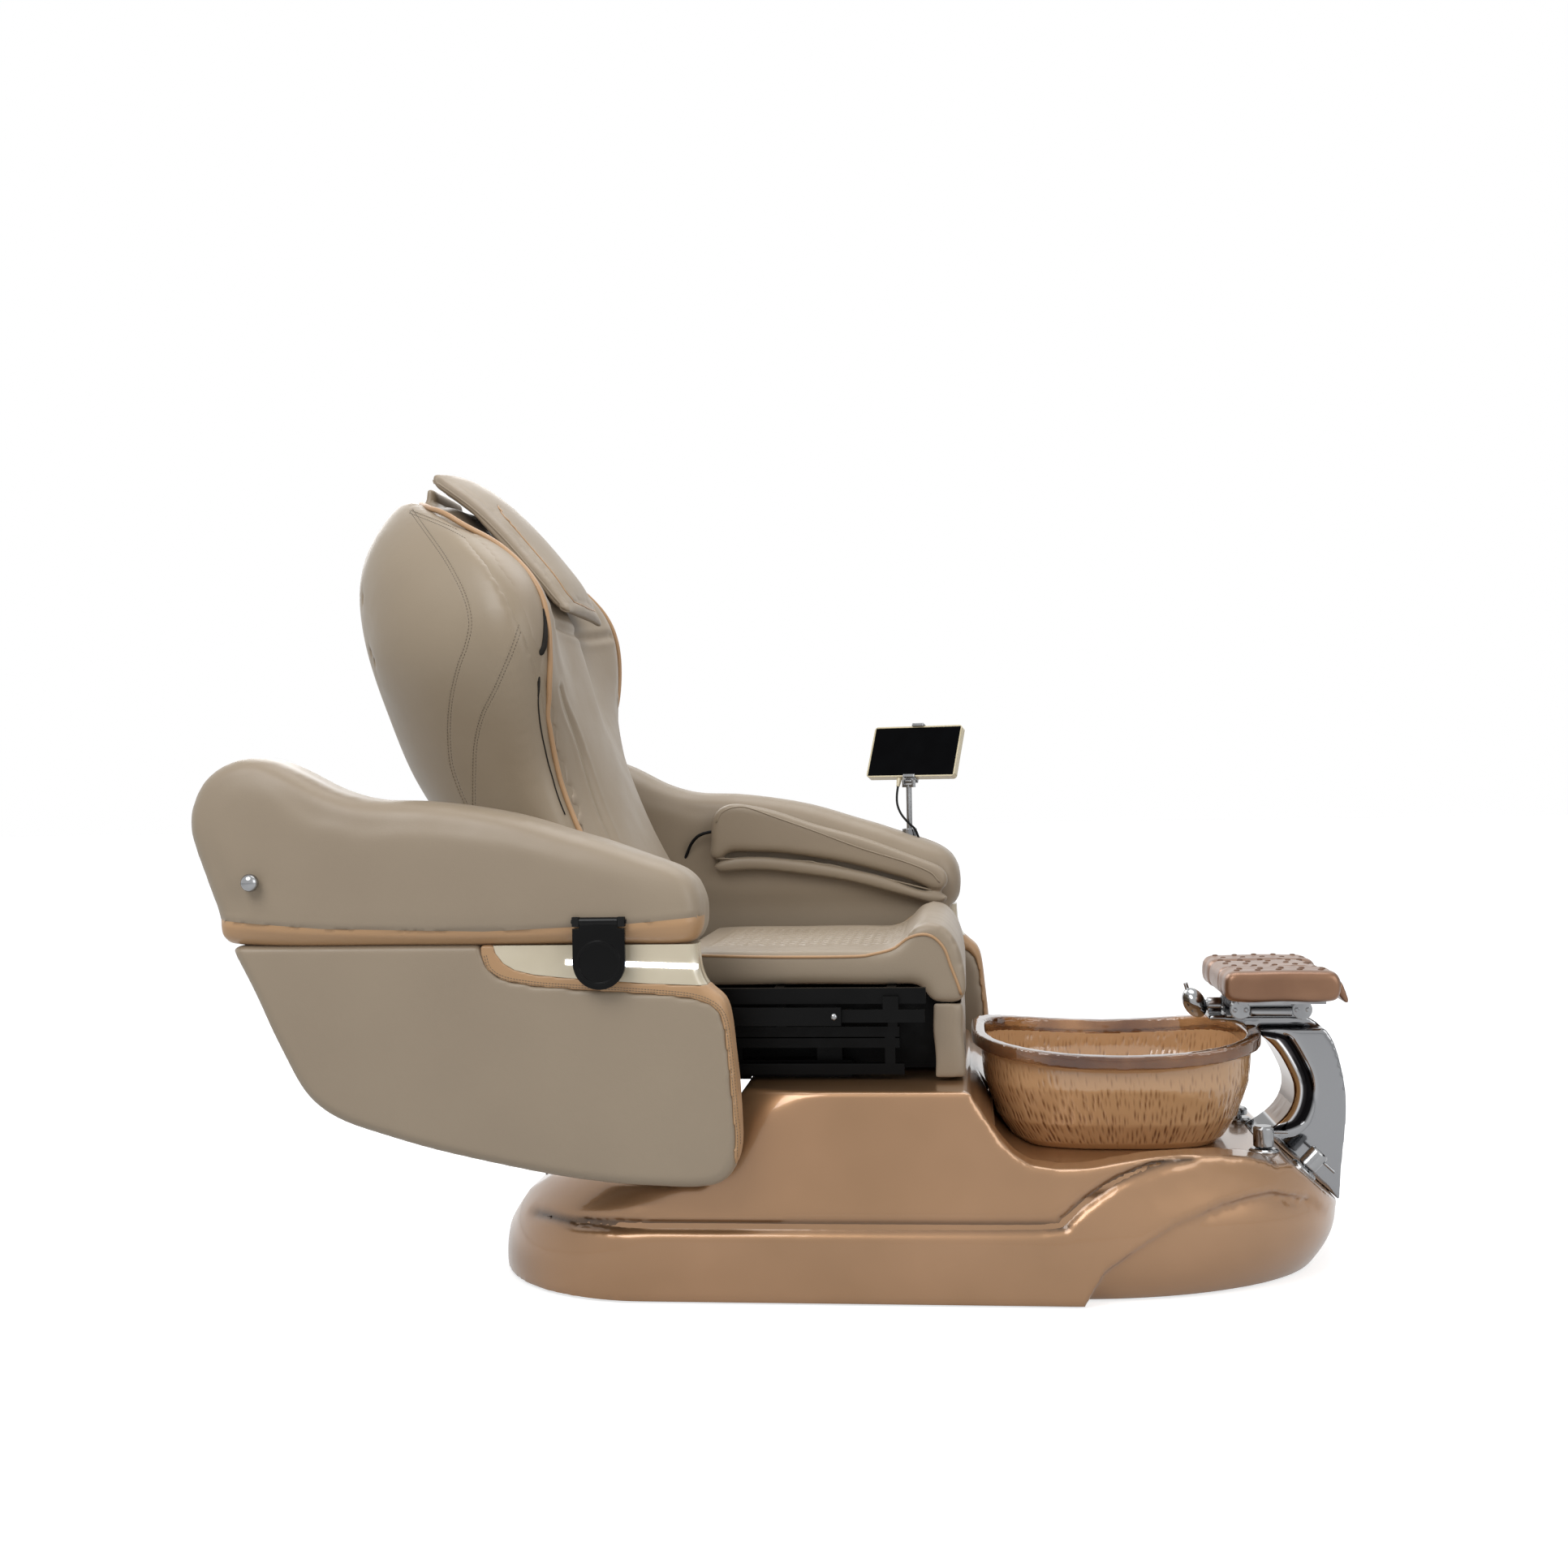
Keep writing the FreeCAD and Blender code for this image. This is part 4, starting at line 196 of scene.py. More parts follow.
def gloss_plastic(name, dark, light, roughness=0.16, coat=0.5):
    """Injection-moulded ABS with a polished face and the faintest flow marks."""
    made, tree, shader, place = material(name, Coat_Weight=coat, Coat_Roughness=0.05, Specular_IOR_Level=coat)
    rounded(tree, shader, 2 * MM)
    tinted(tree, shader, place, dark, light, 120 * MM)
    worn(tree, shader, place, roughness - 0.04, roughness + 0.06, 60 * MM)
    flow = add(tree, "ShaderNodeTexNoise", {"Vector": place, "Scale": 1 / (50 * MM), "Detail": 1.0})
    raised(tree, shader, flow.outputs["Fac"], 0.04, 1 * MM)
    return made


def matt_plastic(name, dark, light, roughness=0.55):
    """Spark-eroded moulded plastic: a fine 0.8 mm matt texture."""
    made, tree, shader, place = material(name, Specular_IOR_Level=0.2)
    tinted(tree, shader, place, dark, light, 60 * MM)
    worn(tree, shader, place, roughness - 0.07, roughness + 0.07, 25 * MM)
    grain = add(tree, "ShaderNodeTexNoise", {"Vector": place, "Scale": 1 / (0.8 * MM), "Detail": 2.0})
    raised(tree, shader, grain.outputs["Fac"], 0.12, 0.2 * MM)
    return made


def chrome_plate():
    """Bright chrome over polished steel: mirror-like, with faint handling smears."""
    made, tree, shader, place = material("chrome plate", Metallic=1.0)
    rounded(tree, shader, 3 * MM)
    tinted(tree, shader, place, "#8B8C8E", "#A5A6A7", 80 * MM)
    worn(tree, shader, place, 0.04, 0.12, 35 * MM)
    wave = add(tree, "ShaderNodeTexNoise", {"Vector": place, "Scale": 1 / (60 * MM), "Detail": 1.0})
    raised(tree, shader, wave.outputs["Fac"], 0.03, 1 * MM)
    return made


def drawn_steel():
    """Cold-drawn steel: grey metal with fine lines along the bar."""
    made, tree, shader, place = material("drawn steel", Metallic=1.0)
    stretched = add(tree, "ShaderNodeMapping", {"Vector": place, "Scale": (40.0, 900.0, 900.0)})
    lines = add(tree, "ShaderNodeTexNoise", {"Vector": stretched.outputs["Vector"], "Scale": 1.0, "Detail": 2.0})
    tinted(tree, shader, place, "#8C8C8E", "#A6A6A8", 50 * MM)
    worn(tree, shader, place, 0.24, 0.38, 30 * MM)
    raised(tree, shader, lines.outputs["Fac"], 0.10, 0.15 * MM)
    return made


def powder_coat():
    """Black powder coat on welded tube: orange-peel skin about 2 mm across."""
    made, tree, shader, place = material("black powder coat", Specular_IOR_Level=0.12)
    tinted(tree, shader, place, "#030303", "#070707", 60 * MM)
    worn(tree, shader, place, 0.34, 0.5, 25 * MM)
    peel = add(tree, "ShaderNodeTexNoise", {"Vector": place, "Scale": 1 / (2 * MM), "Detail": 1.5})
    raised(tree, shader, peel.outputs["Fac"], 0.15, 0.3 * MM)
    return made


def amber_glass():
    """Hammered amber glass, cast thick, with upright dashes pressed into it: painted shade turns the colour a darker
    brown in the dashes, by their depth, which the piece keeps for each of its points."""
    made, tree, shader, place = material("hammered amber glass", IOR=1.49, Roughness=0.16, Coat_Weight=0.7,
                                         Coat_Roughness=0.05, Transmission_Weight=0.10)
    # painted shade: the deeper a dash is pressed, the darker and browner the colour
    painted_shade = add(tree, "ShaderNodeValToRGB", {"Fac": own_value(tree, "dash")})
    painted_shade.color_ramp.elements[0].position, painted_shade.color_ramp.elements[1].position = 0.10, 0.70
    painted_shade.color_ramp.elements[0].color, painted_shade.color_ramp.elements[1].color = linear("#C99F73"), linear("#7A4E2A")
    tree.links.new(painted_shade.outputs["Color"], shader.inputs["Base Color"])
    swirl = add(tree, "ShaderNodeTexNoise", {"Vector": place, "Scale": 1 / (30 * MM), "Detail": 3.0})
    raised(tree, shader, swirl.outputs["Fac"], 0.15, 2 * MM)
    return made


def clear_glass():
    """The smooth, clear rim of the same glass, brown in its thickness, with faint waves from the mould."""
    made, tree, shader, place = material("clear brown glass", IOR=1.49, Roughness=0.03, Coat_Weight=0.6,
                                         Coat_Roughness=0.02, Transmission_Weight=0.6)
    tinted(tree, shader, place, "#6B4224", "#A97B50", 90 * MM)
    wave = add(tree, "ShaderNodeTexNoise", {"Vector": place, "Scale": 1 / (40 * MM), "Detail": 2.0})
    raised(tree, shader, wave.outputs["Fac"], 0.25, 3 * MM)
    return made


def lit_diffuser():
    """Milky diffuser over a row of cold white diodes 11 mm apart."""
    made, tree, shader, place = material("lit diffuser", Roughness=0.35, Emission_Strength=5.0)
    spread = add(tree, "ShaderNodeMapping", {"Vector": place, "Scale": (1 / (11 * MM), 1.0, 1.0)})
    wave = add(tree, "ShaderNodeTexWave", {"Vector": spread.outputs["Vector"], "Scale": 0.5},
               wave_type="BANDS", bands_direction="X")
    ramp = add(tree, "ShaderNodeValToRGB", {"Fac": wave.outputs["Fac"]})
    ramp.color_ramp.elements[0].color, ramp.color_ramp.elements[1].color = linear("#BFD4FF"), linear("#FFFFFF")
    tree.links.new(ramp.outputs["Color"], shader.inputs["Emission Color"])
    tree.links.new(ramp.outputs["Color"], shader.inputs["Base Color"])
    return made


def foot_rubber():
    """Moulded black rubber, matt with a dusty bloom."""
    made, tree, shader, place = material("moulded rubber")
    tinted(tree, shader, place, "#161616", "#242322", 20 * MM)
    worn(tree, shader, place, 0.65, 0.85, 12 * MM)
    grain = add(tree, "ShaderNodeTexNoise", {"Vector": place, "Scale": 1 / (1.2 * MM), "Detail": 2.0})
    raised(tree, shader, grain.outputs["Fac"], 0.15, 0.2 * MM)
    return made


def pad_skin():
    """Self-skinned polyurethane in satin rose gold, smooth to the touch."""
    made, tree, shader, place = material("satin polyurethane", Metallic=0.55, Coat_Weight=0.25, Coat_Roughness=0.2)
    rounded(tree, shader, 5 * MM)
    tinted(tree, shader, place, "#7D5A42", "#8A664C", 90 * MM)
    worn(tree, shader, place, 0.30, 0.38, 25 * MM)
    grain = add(tree, "ShaderNodeTexNoise", {"Vector": place, "Scale": 1 / (1.5 * MM), "Detail": 2.0})
    raised(tree, shader, grain.outputs["Fac"], 0.08, 0.2 * MM)
    return made


def chrome_with_painted_reflections():
    """Chrome over the column's rolled inner edge, with painted reflections by the distance from that edge in 40 mm,
    which the piece keeps for each of its points: a bronze band where it faces the tray, then a bright line and a dark
    streak over the hollow."""
    made, tree, shader, place = material("chrome with painted reflections", Metallic=1.0, Roughness=0.07)
    # painted reflections: bronze, then a bright line, then dark, then grey chrome, by the distance from the inner edge
    reflection_bands = add(tree, "ShaderNodeValToRGB", {"Fac": own_value(tree, "inset")})
    ramp = reflection_bands.color_ramp
    reflection_stops = ((0.0, "#5E4329"), (0.20, "#7A5A3A"), (0.27, "#C4C5C7"), (0.36, "#2A2829"), (0.52, "#0E0D0E"),
             (0.74, "#141314"), (0.84, "#9A9B9D"), (1.0, "#8F9092"))
    ramp.elements[0].position, ramp.elements[1].position = reflection_stops[0][0], reflection_stops[-1][0]
    ramp.elements[0].color, ramp.elements[1].color = linear(reflection_stops[0][1]), linear(reflection_stops[-1][1])
    for position, code in reflection_stops[1:-1]:
        ramp.elements.new(position).color = linear(code)
    tree.links.new(reflection_bands.outputs["Color"], shader.inputs["Base Color"])
    smear = add(tree, "ShaderNodeTexNoise", {"Vector": place, "Scale": 1 / (70 * MM), "Detail": 1.0})
    raised(tree, shader, smear.outputs["Fac"], 0.03, 1 * MM)
    return made


def dark_screen():
    """Cover glass over a sleeping screen: near black with a clean reflection."""
    made, tree, shader, place = material("cover glass", Specular_IOR_Level=0.03)
    tinted(tree, shader, place, "#030304", "#07080A", 90 * MM)
    worn(tree, shader, place, 0.12, 0.2, 30 * MM)
    return made


def sewing_thread():
    """Bonded polyester upholstery thread: waxy, twisted about once a millimetre."""
    made, tree, shader, place = material("sewing thread", Sheen_Weight=0.2)
    tinted(tree, shader, place, "#5E5241", "#6E614E", 30 * MM)
    worn(tree, shader, place, 0.5, 0.65, 20 * MM)
    twist = add(tree, "ShaderNodeTexNoise", {"Vector": place, "Scale": 1 / (1 * MM), "Detail": 1.0})
    raised(tree, shader, twist.outputs["Fac"], 0.2, 0.15 * MM)
    return made


TAUPE = leather("taupe leather", "#8E7F6C", "#968773", 0.44)
TAUPE_BACK = leather("taupe shell leather", "#8C7D69", "#948570", 0.40)
GOLD = leather("gold trim leather", "#A98560", "#B28D67", 0.38)
PEARL = pearl_shell()
CREAM = gloss_plastic("cream lacquer panel", "#C4B89F", "#CFC4AC", 0.14)
CHAMPAGNE = gloss_plastic("champagne bezel", "#C2B490", "#CFC3A3", 0.25)
BLACK = matt_plastic("black moulded plastic", "#050505", "#0B0B0B")
GLOSS_BLACK = gloss_plastic("black lacquer", "#040404", "#090909", 0.10, 0.12)
CHROME = chrome_plate()
STEEL = drawn_steel()
COAT = powder_coat()
GLASS = amber_glass()
RIM = clear_glass()
LIGHT = lit_diffuser()
RUBBER = foot_rubber()
PAD = pad_skin()
# the dots are moulded in the pad, but painted a darker brown than it as painted shade and reflection on their sides
DOTS_PAINTED_DARKER = matt_plastic("pad dots painted darker", "#5E4230", "#6C4E3A", 0.4)
PAINTED_REFLECTION_CHROME = chrome_with_painted_reflections()
SCREEN = dark_screen()
THREAD = sewing_thread()
ZIPPER_AND_GAP_SHADE = matt_plastic("zipper tape and painted gap shade", "#15130F", "#221E19", 0.7)


def dress(names, finish):
    """Give CAD nodes their finish in place of the plain one."""
    for name in names:
        slots = nodes[name].data.materials
        slots.clear()
        slots.append(finish)


dress(["base_shell"], PEARL)
dress(["rear_vent_panel"], GLOSS_BLACK)
dress(["base_frame", "seat_frame", "carriage", "arm_frame_left", "arm_frame_right", "back_frame", "seat_rails",
       "massage_carriage", "arm_rails_fixed", "arm_rail_left", "arm_rail_right"], COAT)
dress(["slide_actuator", "recline_motor", "jet_impeller", "jet_housing", "sleeve_hose", "tablet_cord"], BLACK)
dress(["levelling_feet"], RUBBER)
dress(["foot_bowl"], GLASS)
dress(["bowl_drain", "drain_stopper", "column", "footrest_bracket", "bracket_discs", "sprayer_dock",
       "sprayer", "valve_bodies", "mixer_handle", "diverter_handle", "jet_button", "coat_hook_left",
       "coat_hook_right", "tablet_collar", "tablet_post", "tablet_clip"], CHROME)
dress(["footrest_plate"], STEEL)
dress(["cup_bracket"], BLACK)
dress(["footrest_pads"], PAD)
dress(["arm_insert_left", "arm_insert_right"], CREAM)
dress(["arm_light_left", "arm_light_right"], LIGHT)
dress(["cup_tray"], GLOSS_BLACK)
dress(["tablet_case"], CHAMPAGNE)
dress(["tablet_screen"], SCREEN)
dress(["seat_cushion", "apron", "arm_upper_left", "arm_upper_right", "arm_lower_left", "arm_lower_right",
       "sleeve_pads_left", "sleeve_pads_right", "back_pad", "pillow"], TAUPE)
dress(["back_shell"], TAUPE_BACK)
dress(["arm_trim_left", "arm_trim_right"], GOLD)


# ---------------------------------------------------------------- mesh tools

def mesh_piece(name, points, faces, finish, body):
    """A smooth-shaded mesh piece from arrays of points and faces, riding on a body."""
    mesh = bpy.data.meshes.new(name)
    mesh.from_pydata(np.asarray(points, float).tolist(), [], [tuple(face) for face in faces])
    mesh.materials.append(finish)
    mesh.polygons.foreach_set("use_smooth", np.ones(len(mesh.polygons), bool))
    mesh.update()
    piece = bpy.data.objects.new(name, mesh)
    bpy.context.scene.collection.objects.link(piece)
    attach(piece, body)
    return piece


def places(piece):
    """The piece's vertex positions as an (n, 3) array."""
    flat = np.empty(len(piece.data.vertices) * 3)
    piece.data.vertices.foreach_get("co", flat)
    return flat.reshape(-1, 3)


def outward(piece):
    """The piece's vertex normals as an (n, 3) array."""
    flat = np.empty(len(piece.data.vertices) * 3)
    piece.data.vertex_normals.foreach_get("vector", flat)
    return flat.reshape(-1, 3)


def moved_to(piece, points):
    """Put the piece's vertices at the given points."""
    piece.data.vertices.foreach_set("co", np.ascontiguousarray(points, float).ravel())
    piece.data.update()


def grid_faces(rows, columns, wrap=False):
    """Quads of a grid of rows by columns points, counted row by row, joined round the columns if wrapped."""
    row, column = np.meshgrid(np.arange(rows - 1), np.arange(columns if wrap else columns - 1), indexing="ij")
    right = (column + 1) % columns
    quads = np.stack([row * columns + column, row * columns + right, (row + 1) * columns + right,
                      (row + 1) * columns + column], axis=-1)
    return quads.reshape(-1, 4)


def smooth_line(points, step, closed=False):
    """Even points, step apart, along a centred cubic (Catmull-Rom) curve through the given points."""
    given = np.asarray(points, float)
    if closed:
        padded = np.vstack([given[-1:], given, given[:2]])
    else:
        padded = np.vstack([2 * given[:1] - given[1:2], given, 2 * given[-1:] - given[-2:-1]])
    share = np.linspace(0, 1, 24, endpoint=False)[:, None, None]
    before, start, end, after = padded[:-3], padded[1:-2], padded[2:-1], padded[3:]
    curve = 0.5 * (2 * start + (end - before) * share + (2 * before - 5 * start + 4 * end - after) * share ** 2
                   + (3 * start - before - 3 * end + after) * share ** 3)
    curve = curve.transpose(1, 0, 2).reshape(-1, given.shape[1])
    curve = np.vstack([curve, given[:1] if closed else given[-1:]])
    run = np.concatenate([[0], np.cumsum(np.linalg.norm(np.diff(curve, axis=0), axis=1))])
    count = max(3, int(round(run[-1] / step)) + 1)
    even = np.linspace(0, run[-1], count)
    return np.stack([np.interp(even, run, curve[:, axis]) for axis in range(given.shape[1])], axis=1)


def surface_of(piece):
    """A ray-casting tree of the piece's own mesh."""
    mesh = piece.data
    return BVHTree.FromPolygons([vertex.co for vertex in mesh.vertices], [polygon.vertices for polygon in mesh.polygons])


def framed(path, closed=False):
    """Unit tangents of a path and two unit vectors across it, kept from twisting by a steady helper."""
    if closed:
        ahead = np.roll(path, -1, axis=0) - np.roll(path, 1, axis=0)
    else:
        ahead = np.gradient(path, axis=0)
    ahead /= np.linalg.norm(ahead, axis=1, keepdims=True) + 1e-12
    spread = path.max(0) - path.min(0)
    helper = np.eye(3)[int(np.argmin(spread))]
    side = np.cross(ahead, helper)
    side /= np.linalg.norm(side, axis=1, keepdims=True) + 1e-12
    return ahead, side, np.cross(ahead, side)


def tube(name, path, radius, finish, body, closed=False, sides=10):
    """A round bar: circles across each point of the path, radius constant or one value a point."""
    path = np.asarray(path, float)
    ahead, side, over = framed(path, closed)
    turn = np.linspace(0, 2 * math.pi, sides, endpoint=False)
    radius = np.broadcast_to(np.asarray(radius, float), (len(path),))
    rings = path[:, None] + radius[:, None, None] * (np.cos(turn)[None, :, None] * side[:, None]
                                                     + np.sin(turn)[None, :, None] * over[:, None])
    points = rings.reshape(-1, 3)
    faces = grid_faces(len(path), sides, True)
    if closed:
        last = (len(path) - 1) * sides
        around = np.arange(sides)
        faces = np.vstack([faces, np.stack([last + around, last + (around + 1) % sides, (around + 1) % sides,
                                            around], axis=-1)])
        return mesh_piece(name, points, faces[:, ::-1], finish, body)
    caps = [tuple(range(sides)), tuple(range(len(points) - 1, len(points) - sides - 1, -1))]
    return mesh_piece(name, points, [tuple(face[::-1]) for face in faces] + caps, finish, body)


def stitches(name, rows, finish, body, pitch=5.5 * MM, length=3.6 * MM, radius=0.55 * MM):
    """Thread stitches along each row of (points, normals): short capsules, six-sided, sunk by half."""
    shapes, faces = [], []
    along = np.array([-0.5, -0.42, 0.42, 0.5])
    width = np.array([0.35, 1.0, 1.0, 0.35])
    turn = np.linspace(0, 2 * math.pi, 6, endpoint=False)
    total = 0
    for points, normals in rows:
        run = np.concatenate([[0], np.cumsum(np.linalg.norm(np.diff(points, axis=0), axis=1))])
        at = np.arange(pitch / 2, run[-1], pitch)
        if not len(at):
            continue
        middle = np.stack([np.interp(at, run, points[:, axis]) for axis in range(3)], axis=1)
        up = np.stack([np.interp(at, run, normals[:, axis]) for axis in range(3)], axis=1)
        before = np.stack([np.interp(at - pitch / 4, run, points[:, axis]) for axis in range(3)], axis=1)
        after = np.stack([np.interp(at + pitch / 4, run, points[:, axis]) for axis in range(3)], axis=1)
        ahead = after - before
        ahead /= np.linalg.norm(ahead, axis=1, keepdims=True) + 1e-12
        across = np.cross(up, ahead)
        across /= np.linalg.norm(across, axis=1, keepdims=True) + 1e-12
        up = np.cross(ahead, across)
        ring = (np.cos(turn)[None, None, :, None] * across[:, None, None] + np.sin(turn)[None, None, :, None]
                * up[:, None, None]) * (radius * width)[None, :, None, None]
        shape = middle[:, None, None] + along[None, :, None, None] * length * ahead[:, None, None] + ring
        count = len(at)
        shapes.append(shape.reshape(-1, 3))
        body_faces = grid_faces(4, 6, True)
        block = (body_faces[None] + (np.arange(count) * 24)[:, None, None]).reshape(-1, 4) + total
        faces += block.tolist()
        start = (np.arange(count) * 24)[:, None] + total
        faces += (start + np.arange(5, -1, -1)).tolist() + (start + np.arange(18, 24)).tolist()
        total += count * 24
    return mesh_piece(name, np.vstack(shapes), faces, finish, body)


# ---------------------------------------------------------------- upholstery tools

def baked(piece):
    """Replace the piece's mesh by what its modifiers make of it, and drop the modifiers."""
    finish = list(piece.data.materials)
    mesh = bpy.data.meshes.new_from_object(piece.evaluated_get(bpy.context.evaluated_depsgraph_get()))
    piece.modifiers.clear()
    piece.data = mesh
    mesh.materials.clear()
    for item in finish:
        mesh.materials.append(item)
    mesh.polygons.foreach_set("use_smooth", np.ones(len(mesh.polygons), bool))
    mesh.update()


def solids_of(source):
    """The separate solids of a CAD node as (points, triangles) pairs: corners are merged, then each point
    takes the lowest number it is joined to until nothing changes."""
    mesh = nodes[source].data
    corners = np.empty(len(mesh.loops), int)
    mesh.loops.foreach_get("vertex_index", corners)
    points, number = np.unique(np.round(places(nodes[source]) / (0.02 * MM)).astype(int), axis=0, return_inverse=True)
    points, faces = points * 0.02 * MM, number.ravel()[corners].reshape(-1, 3)
    label = np.arange(len(points))
    while True:
        fresh = label.copy()
        np.minimum.at(fresh, faces.ravel(), np.repeat(label[faces].min(1), 3))
        fresh = fresh[fresh]
        if (fresh == label).all():
            break
        label = fresh
    found = []
    for one in np.unique(label):
        part = faces[label[faces[:, 0]] == one]
        used, index = np.unique(part, return_inverse=True)
        found.append((points[used], index.reshape(-1, 3)))
    return found


def joined_copy(name, sources, finish, body, pick=None):
    """One piece made of copies of CAD nodes' solids, all of them or those that pick(source, points) wants."""
    points, faces, total = [], [], 0
    for source in sources:
        for part_points, part_faces in solids_of(source):
            if pick is None or pick(source, part_points):
                points.append(part_points)
                faces.append(part_faces + total)
                total += len(part_points)
    return mesh_piece(name, np.vstack(points), np.vstack(faces), finish, body)


def remeshed(piece, voxel):
    """Even quads over the piece at the given voxel."""
    remesh = piece.modifiers.new("remesh", "REMESH")
    remesh.mode, remesh.voxel_size = "VOXEL", voxel
    baked(piece)


def finer(piece, rounds=0):
    """Relax the cover by some rounds of smoothing and subdivide it once."""
    if rounds:
        relax = piece.modifiers.new("relax", "SMOOTH")
        relax.factor, relax.iterations = 0.5, rounds
    split = piece.modifiers.new("finer", "SUBSURF")
    split.levels = split.render_levels = 1
    baked(piece)


def stuffed(name, sources, finish, body, voxel, swell, slack=4 * MM, free=None, pick=None, calm=3, grow=0):
    """A filled cover over CAD solids: remeshed, drawn in by slack, blown up as cloth, each point moved
    swell at most, or less where free(points), from 0 to 1, says that it is held, and none left more than a
    millimetre under the foam it started from; then relaxed by calm rounds and let out by grow."""
    piece = joined_copy(name, sources, finish, body, pick)
    remeshed(piece, voxel)
    start, facing = places(piece), outward(piece)
    share = np.ones(len(start)) if free is None else np.clip(free(start), 0, 1)
    rest = start - facing * (slack * share)[:, None]
    moved_to(piece, rest)
    cloth = piece.modifiers.new("cloth", "CLOTH")
    settings = cloth.settings
    settings.quality, settings.mass = 4, 0.3
    settings.tension_stiffness = settings.compression_stiffness = 12
    settings.shear_stiffness, settings.bending_stiffness = 5, 0.4
    settings.use_pressure, settings.uniform_pressure_force = True, 4.0
    settings.effector_weights.gravity = 0
    cloth.point_cache.frame_start, cloth.point_cache.frame_end = 1, 20
    for step in range(1, 21):
        bpy.context.scene.frame_set(step)
    baked(piece)
    bpy.context.scene.frame_set(1)
    shift = places(piece) - rest
    size = np.linalg.norm(shift, axis=1, keepdims=True) + 1e-9
    limit = (swell * share)[:, None]
    shift *= np.minimum(size, limit) / size
    least = (slack - 1 * MM) * share
    lift = np.maximum(least - (shift * facing).sum(1), 0)
    moved_to(piece, rest + shift + facing * lift[:, None])
    finer(piece, calm)
    moved_to(piece, places(piece) + outward(piece) * grow)
    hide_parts(*sources)
    return piece


def stretched(name, sources, finish, body, voxel, rounds=6, fill=0.6, pick=None, grow=1 * MM):
    """A cover stretched tight over firm foam: remeshed and relaxed, so that its edges round off, then let out
    by what the relaxing took away."""
    piece = joined_copy(name, sources, finish, body, pick)
    remeshed(piece, voxel)
    finer(piece, rounds)
    moved_to(piece, places(piece) + outward(piece) * grow)
    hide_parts(*sources)
    return piece


def other_side(piece, name, body, sources):
    """The same piece on the sitter's right: mirrored in Y, slid back with its arm, faces turned round."""
    points = places(piece) * (1, -1, 1) + (ARM_BACK, 0, 0)
    faces = [tuple(polygon.vertices)[::-1] for polygon in piece.data.polygons]
    fresh = mesh_piece(name, points, faces, piece.data.materials[0], body)
    if sources:
        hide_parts(*sources)
    return fresh


def distance_to(points, lines, axes=(0, 1, 2)):
    """Distance of each point to the nearest of the lines' points, in the plane or space of the axes."""
    dense = np.vstack([smooth_line(line, 3 * MM) for line in lines])
    near = np.full(len(points), 1e9)
    for block in np.array_split(np.arange(len(points)), max(1, len(points) // 4000)):
        gap = points[block][:, None, list(axes)] - dense[None]
        near[block] = np.sqrt((gap ** 2).sum(-1).min(1))
    return near


def sewn(piece, lines, depth, width, axes=(0, 1, 2), where=None, puff=0.0):
    """Draw the cover in along seams: a bell-shaped valley of that depth and half width, with a soft
    swelling of the given height one and a half widths to each side."""
    points = places(piece)
    near = distance_to(points, lines, axes)
    share = np.ones(len(points)) if where is None else where(points, outward(piece))
    valley = depth * np.exp(-(near / width) ** 2) - puff * np.exp(-((near - 2 * width) / width) ** 2)
    moved_to(piece, points - outward(piece) * (valley * share)[:, None])


def parted(piece, name, finish, chosen, body, sources):
    """Move the quads whose middles are chosen into a piece of their own with another finish."""
    whole = piece.data
    points = places(piece)
    corners = np.empty(len(whole.loops), int)
    whole.loops.foreach_get("vertex_index", corners)
    corners = corners.reshape(-1, 4)
    mask = chosen(points[corners].mean(1))
    made = []
    for part, label, look in ((~mask, piece.name, whole.materials[0]), (mask, name, finish)):
        used, inverse = np.unique(corners[part], return_inverse=True)
        made.append((label, points[used], inverse.reshape(-1, 4), look))
    whole.clear_geometry()
    whole.from_pydata(made[0][1].tolist(), [], made[0][2].tolist())
    whole.polygons.foreach_set("use_smooth", np.ones(len(whole.polygons), bool))
    whole.update()
    fresh = mesh_piece(name, made[1][1], made[1][2], finish, body)
    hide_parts(*sources)
    return fresh


def beside(line, gap):
    """A flat (x, z) line shifted sideways by gap: each point goes along the turned mean direction."""
    line = smooth_line(np.asarray(line, float), 6 * MM)
    ahead = np.gradient(line, axis=0)
    ahead /= np.linalg.norm(ahead, axis=1, keepdims=True) + 1e-12
    return line + gap * np.stack([-ahead[:, 1], ahead[:, 0]], axis=1)


def on_side(trees, line, side, lift=0.0):
    """Drop a flat (x, z) line on to covers from the sitter's left (side 1) or right (side -1): the first
    surface met by a ray along Y gives each point, lifted off along its normal."""
    found, normals = [], []
    for x, z in line:
        best = None
        for tree in trees:
            hit, normal, index, distance = tree.ray_cast(Vector((x, 1.5 * side, z)), Vector((0, -side, 0)))
            if hit is not None and (best is None or distance < best[2]):
                best = (hit, normal, distance)
        if best:
            found.append(best[0] + best[1] * lift)
            normals.append(best[1])
    return np.array(found), np.array(normals)


def nearest_on(trees, line, lift):
    """Each point of a line moved to the nearest place on the covers and lifted off along the normal."""
    found = []
    for point in line:
        hits = [tree.find_nearest(Vector(point)) for tree in trees]
        hit, normal, index, distance = min(hits, key=lambda item: item[3])
        found.append(hit + normal * lift)
    return np.array(found)


def kept(piece, name, values):
    """Store one number for each point of the piece, for its material to read."""
    piece.data.attributes.new(name, "FLOAT", "POINT").data.foreach_set("value", np.asarray(values, np.float32))


def mm(points):
    """Points in millimetres as an array in metres."""
    return np.asarray(points, float) * MM


# ---------------------------------------------------------------- seat

def above_frame(points):
    """Held at the bottom, free from 40 mm above it."""
    return (points[:, 2] - points[:, 2].min() - 6 * MM) / (34 * MM)


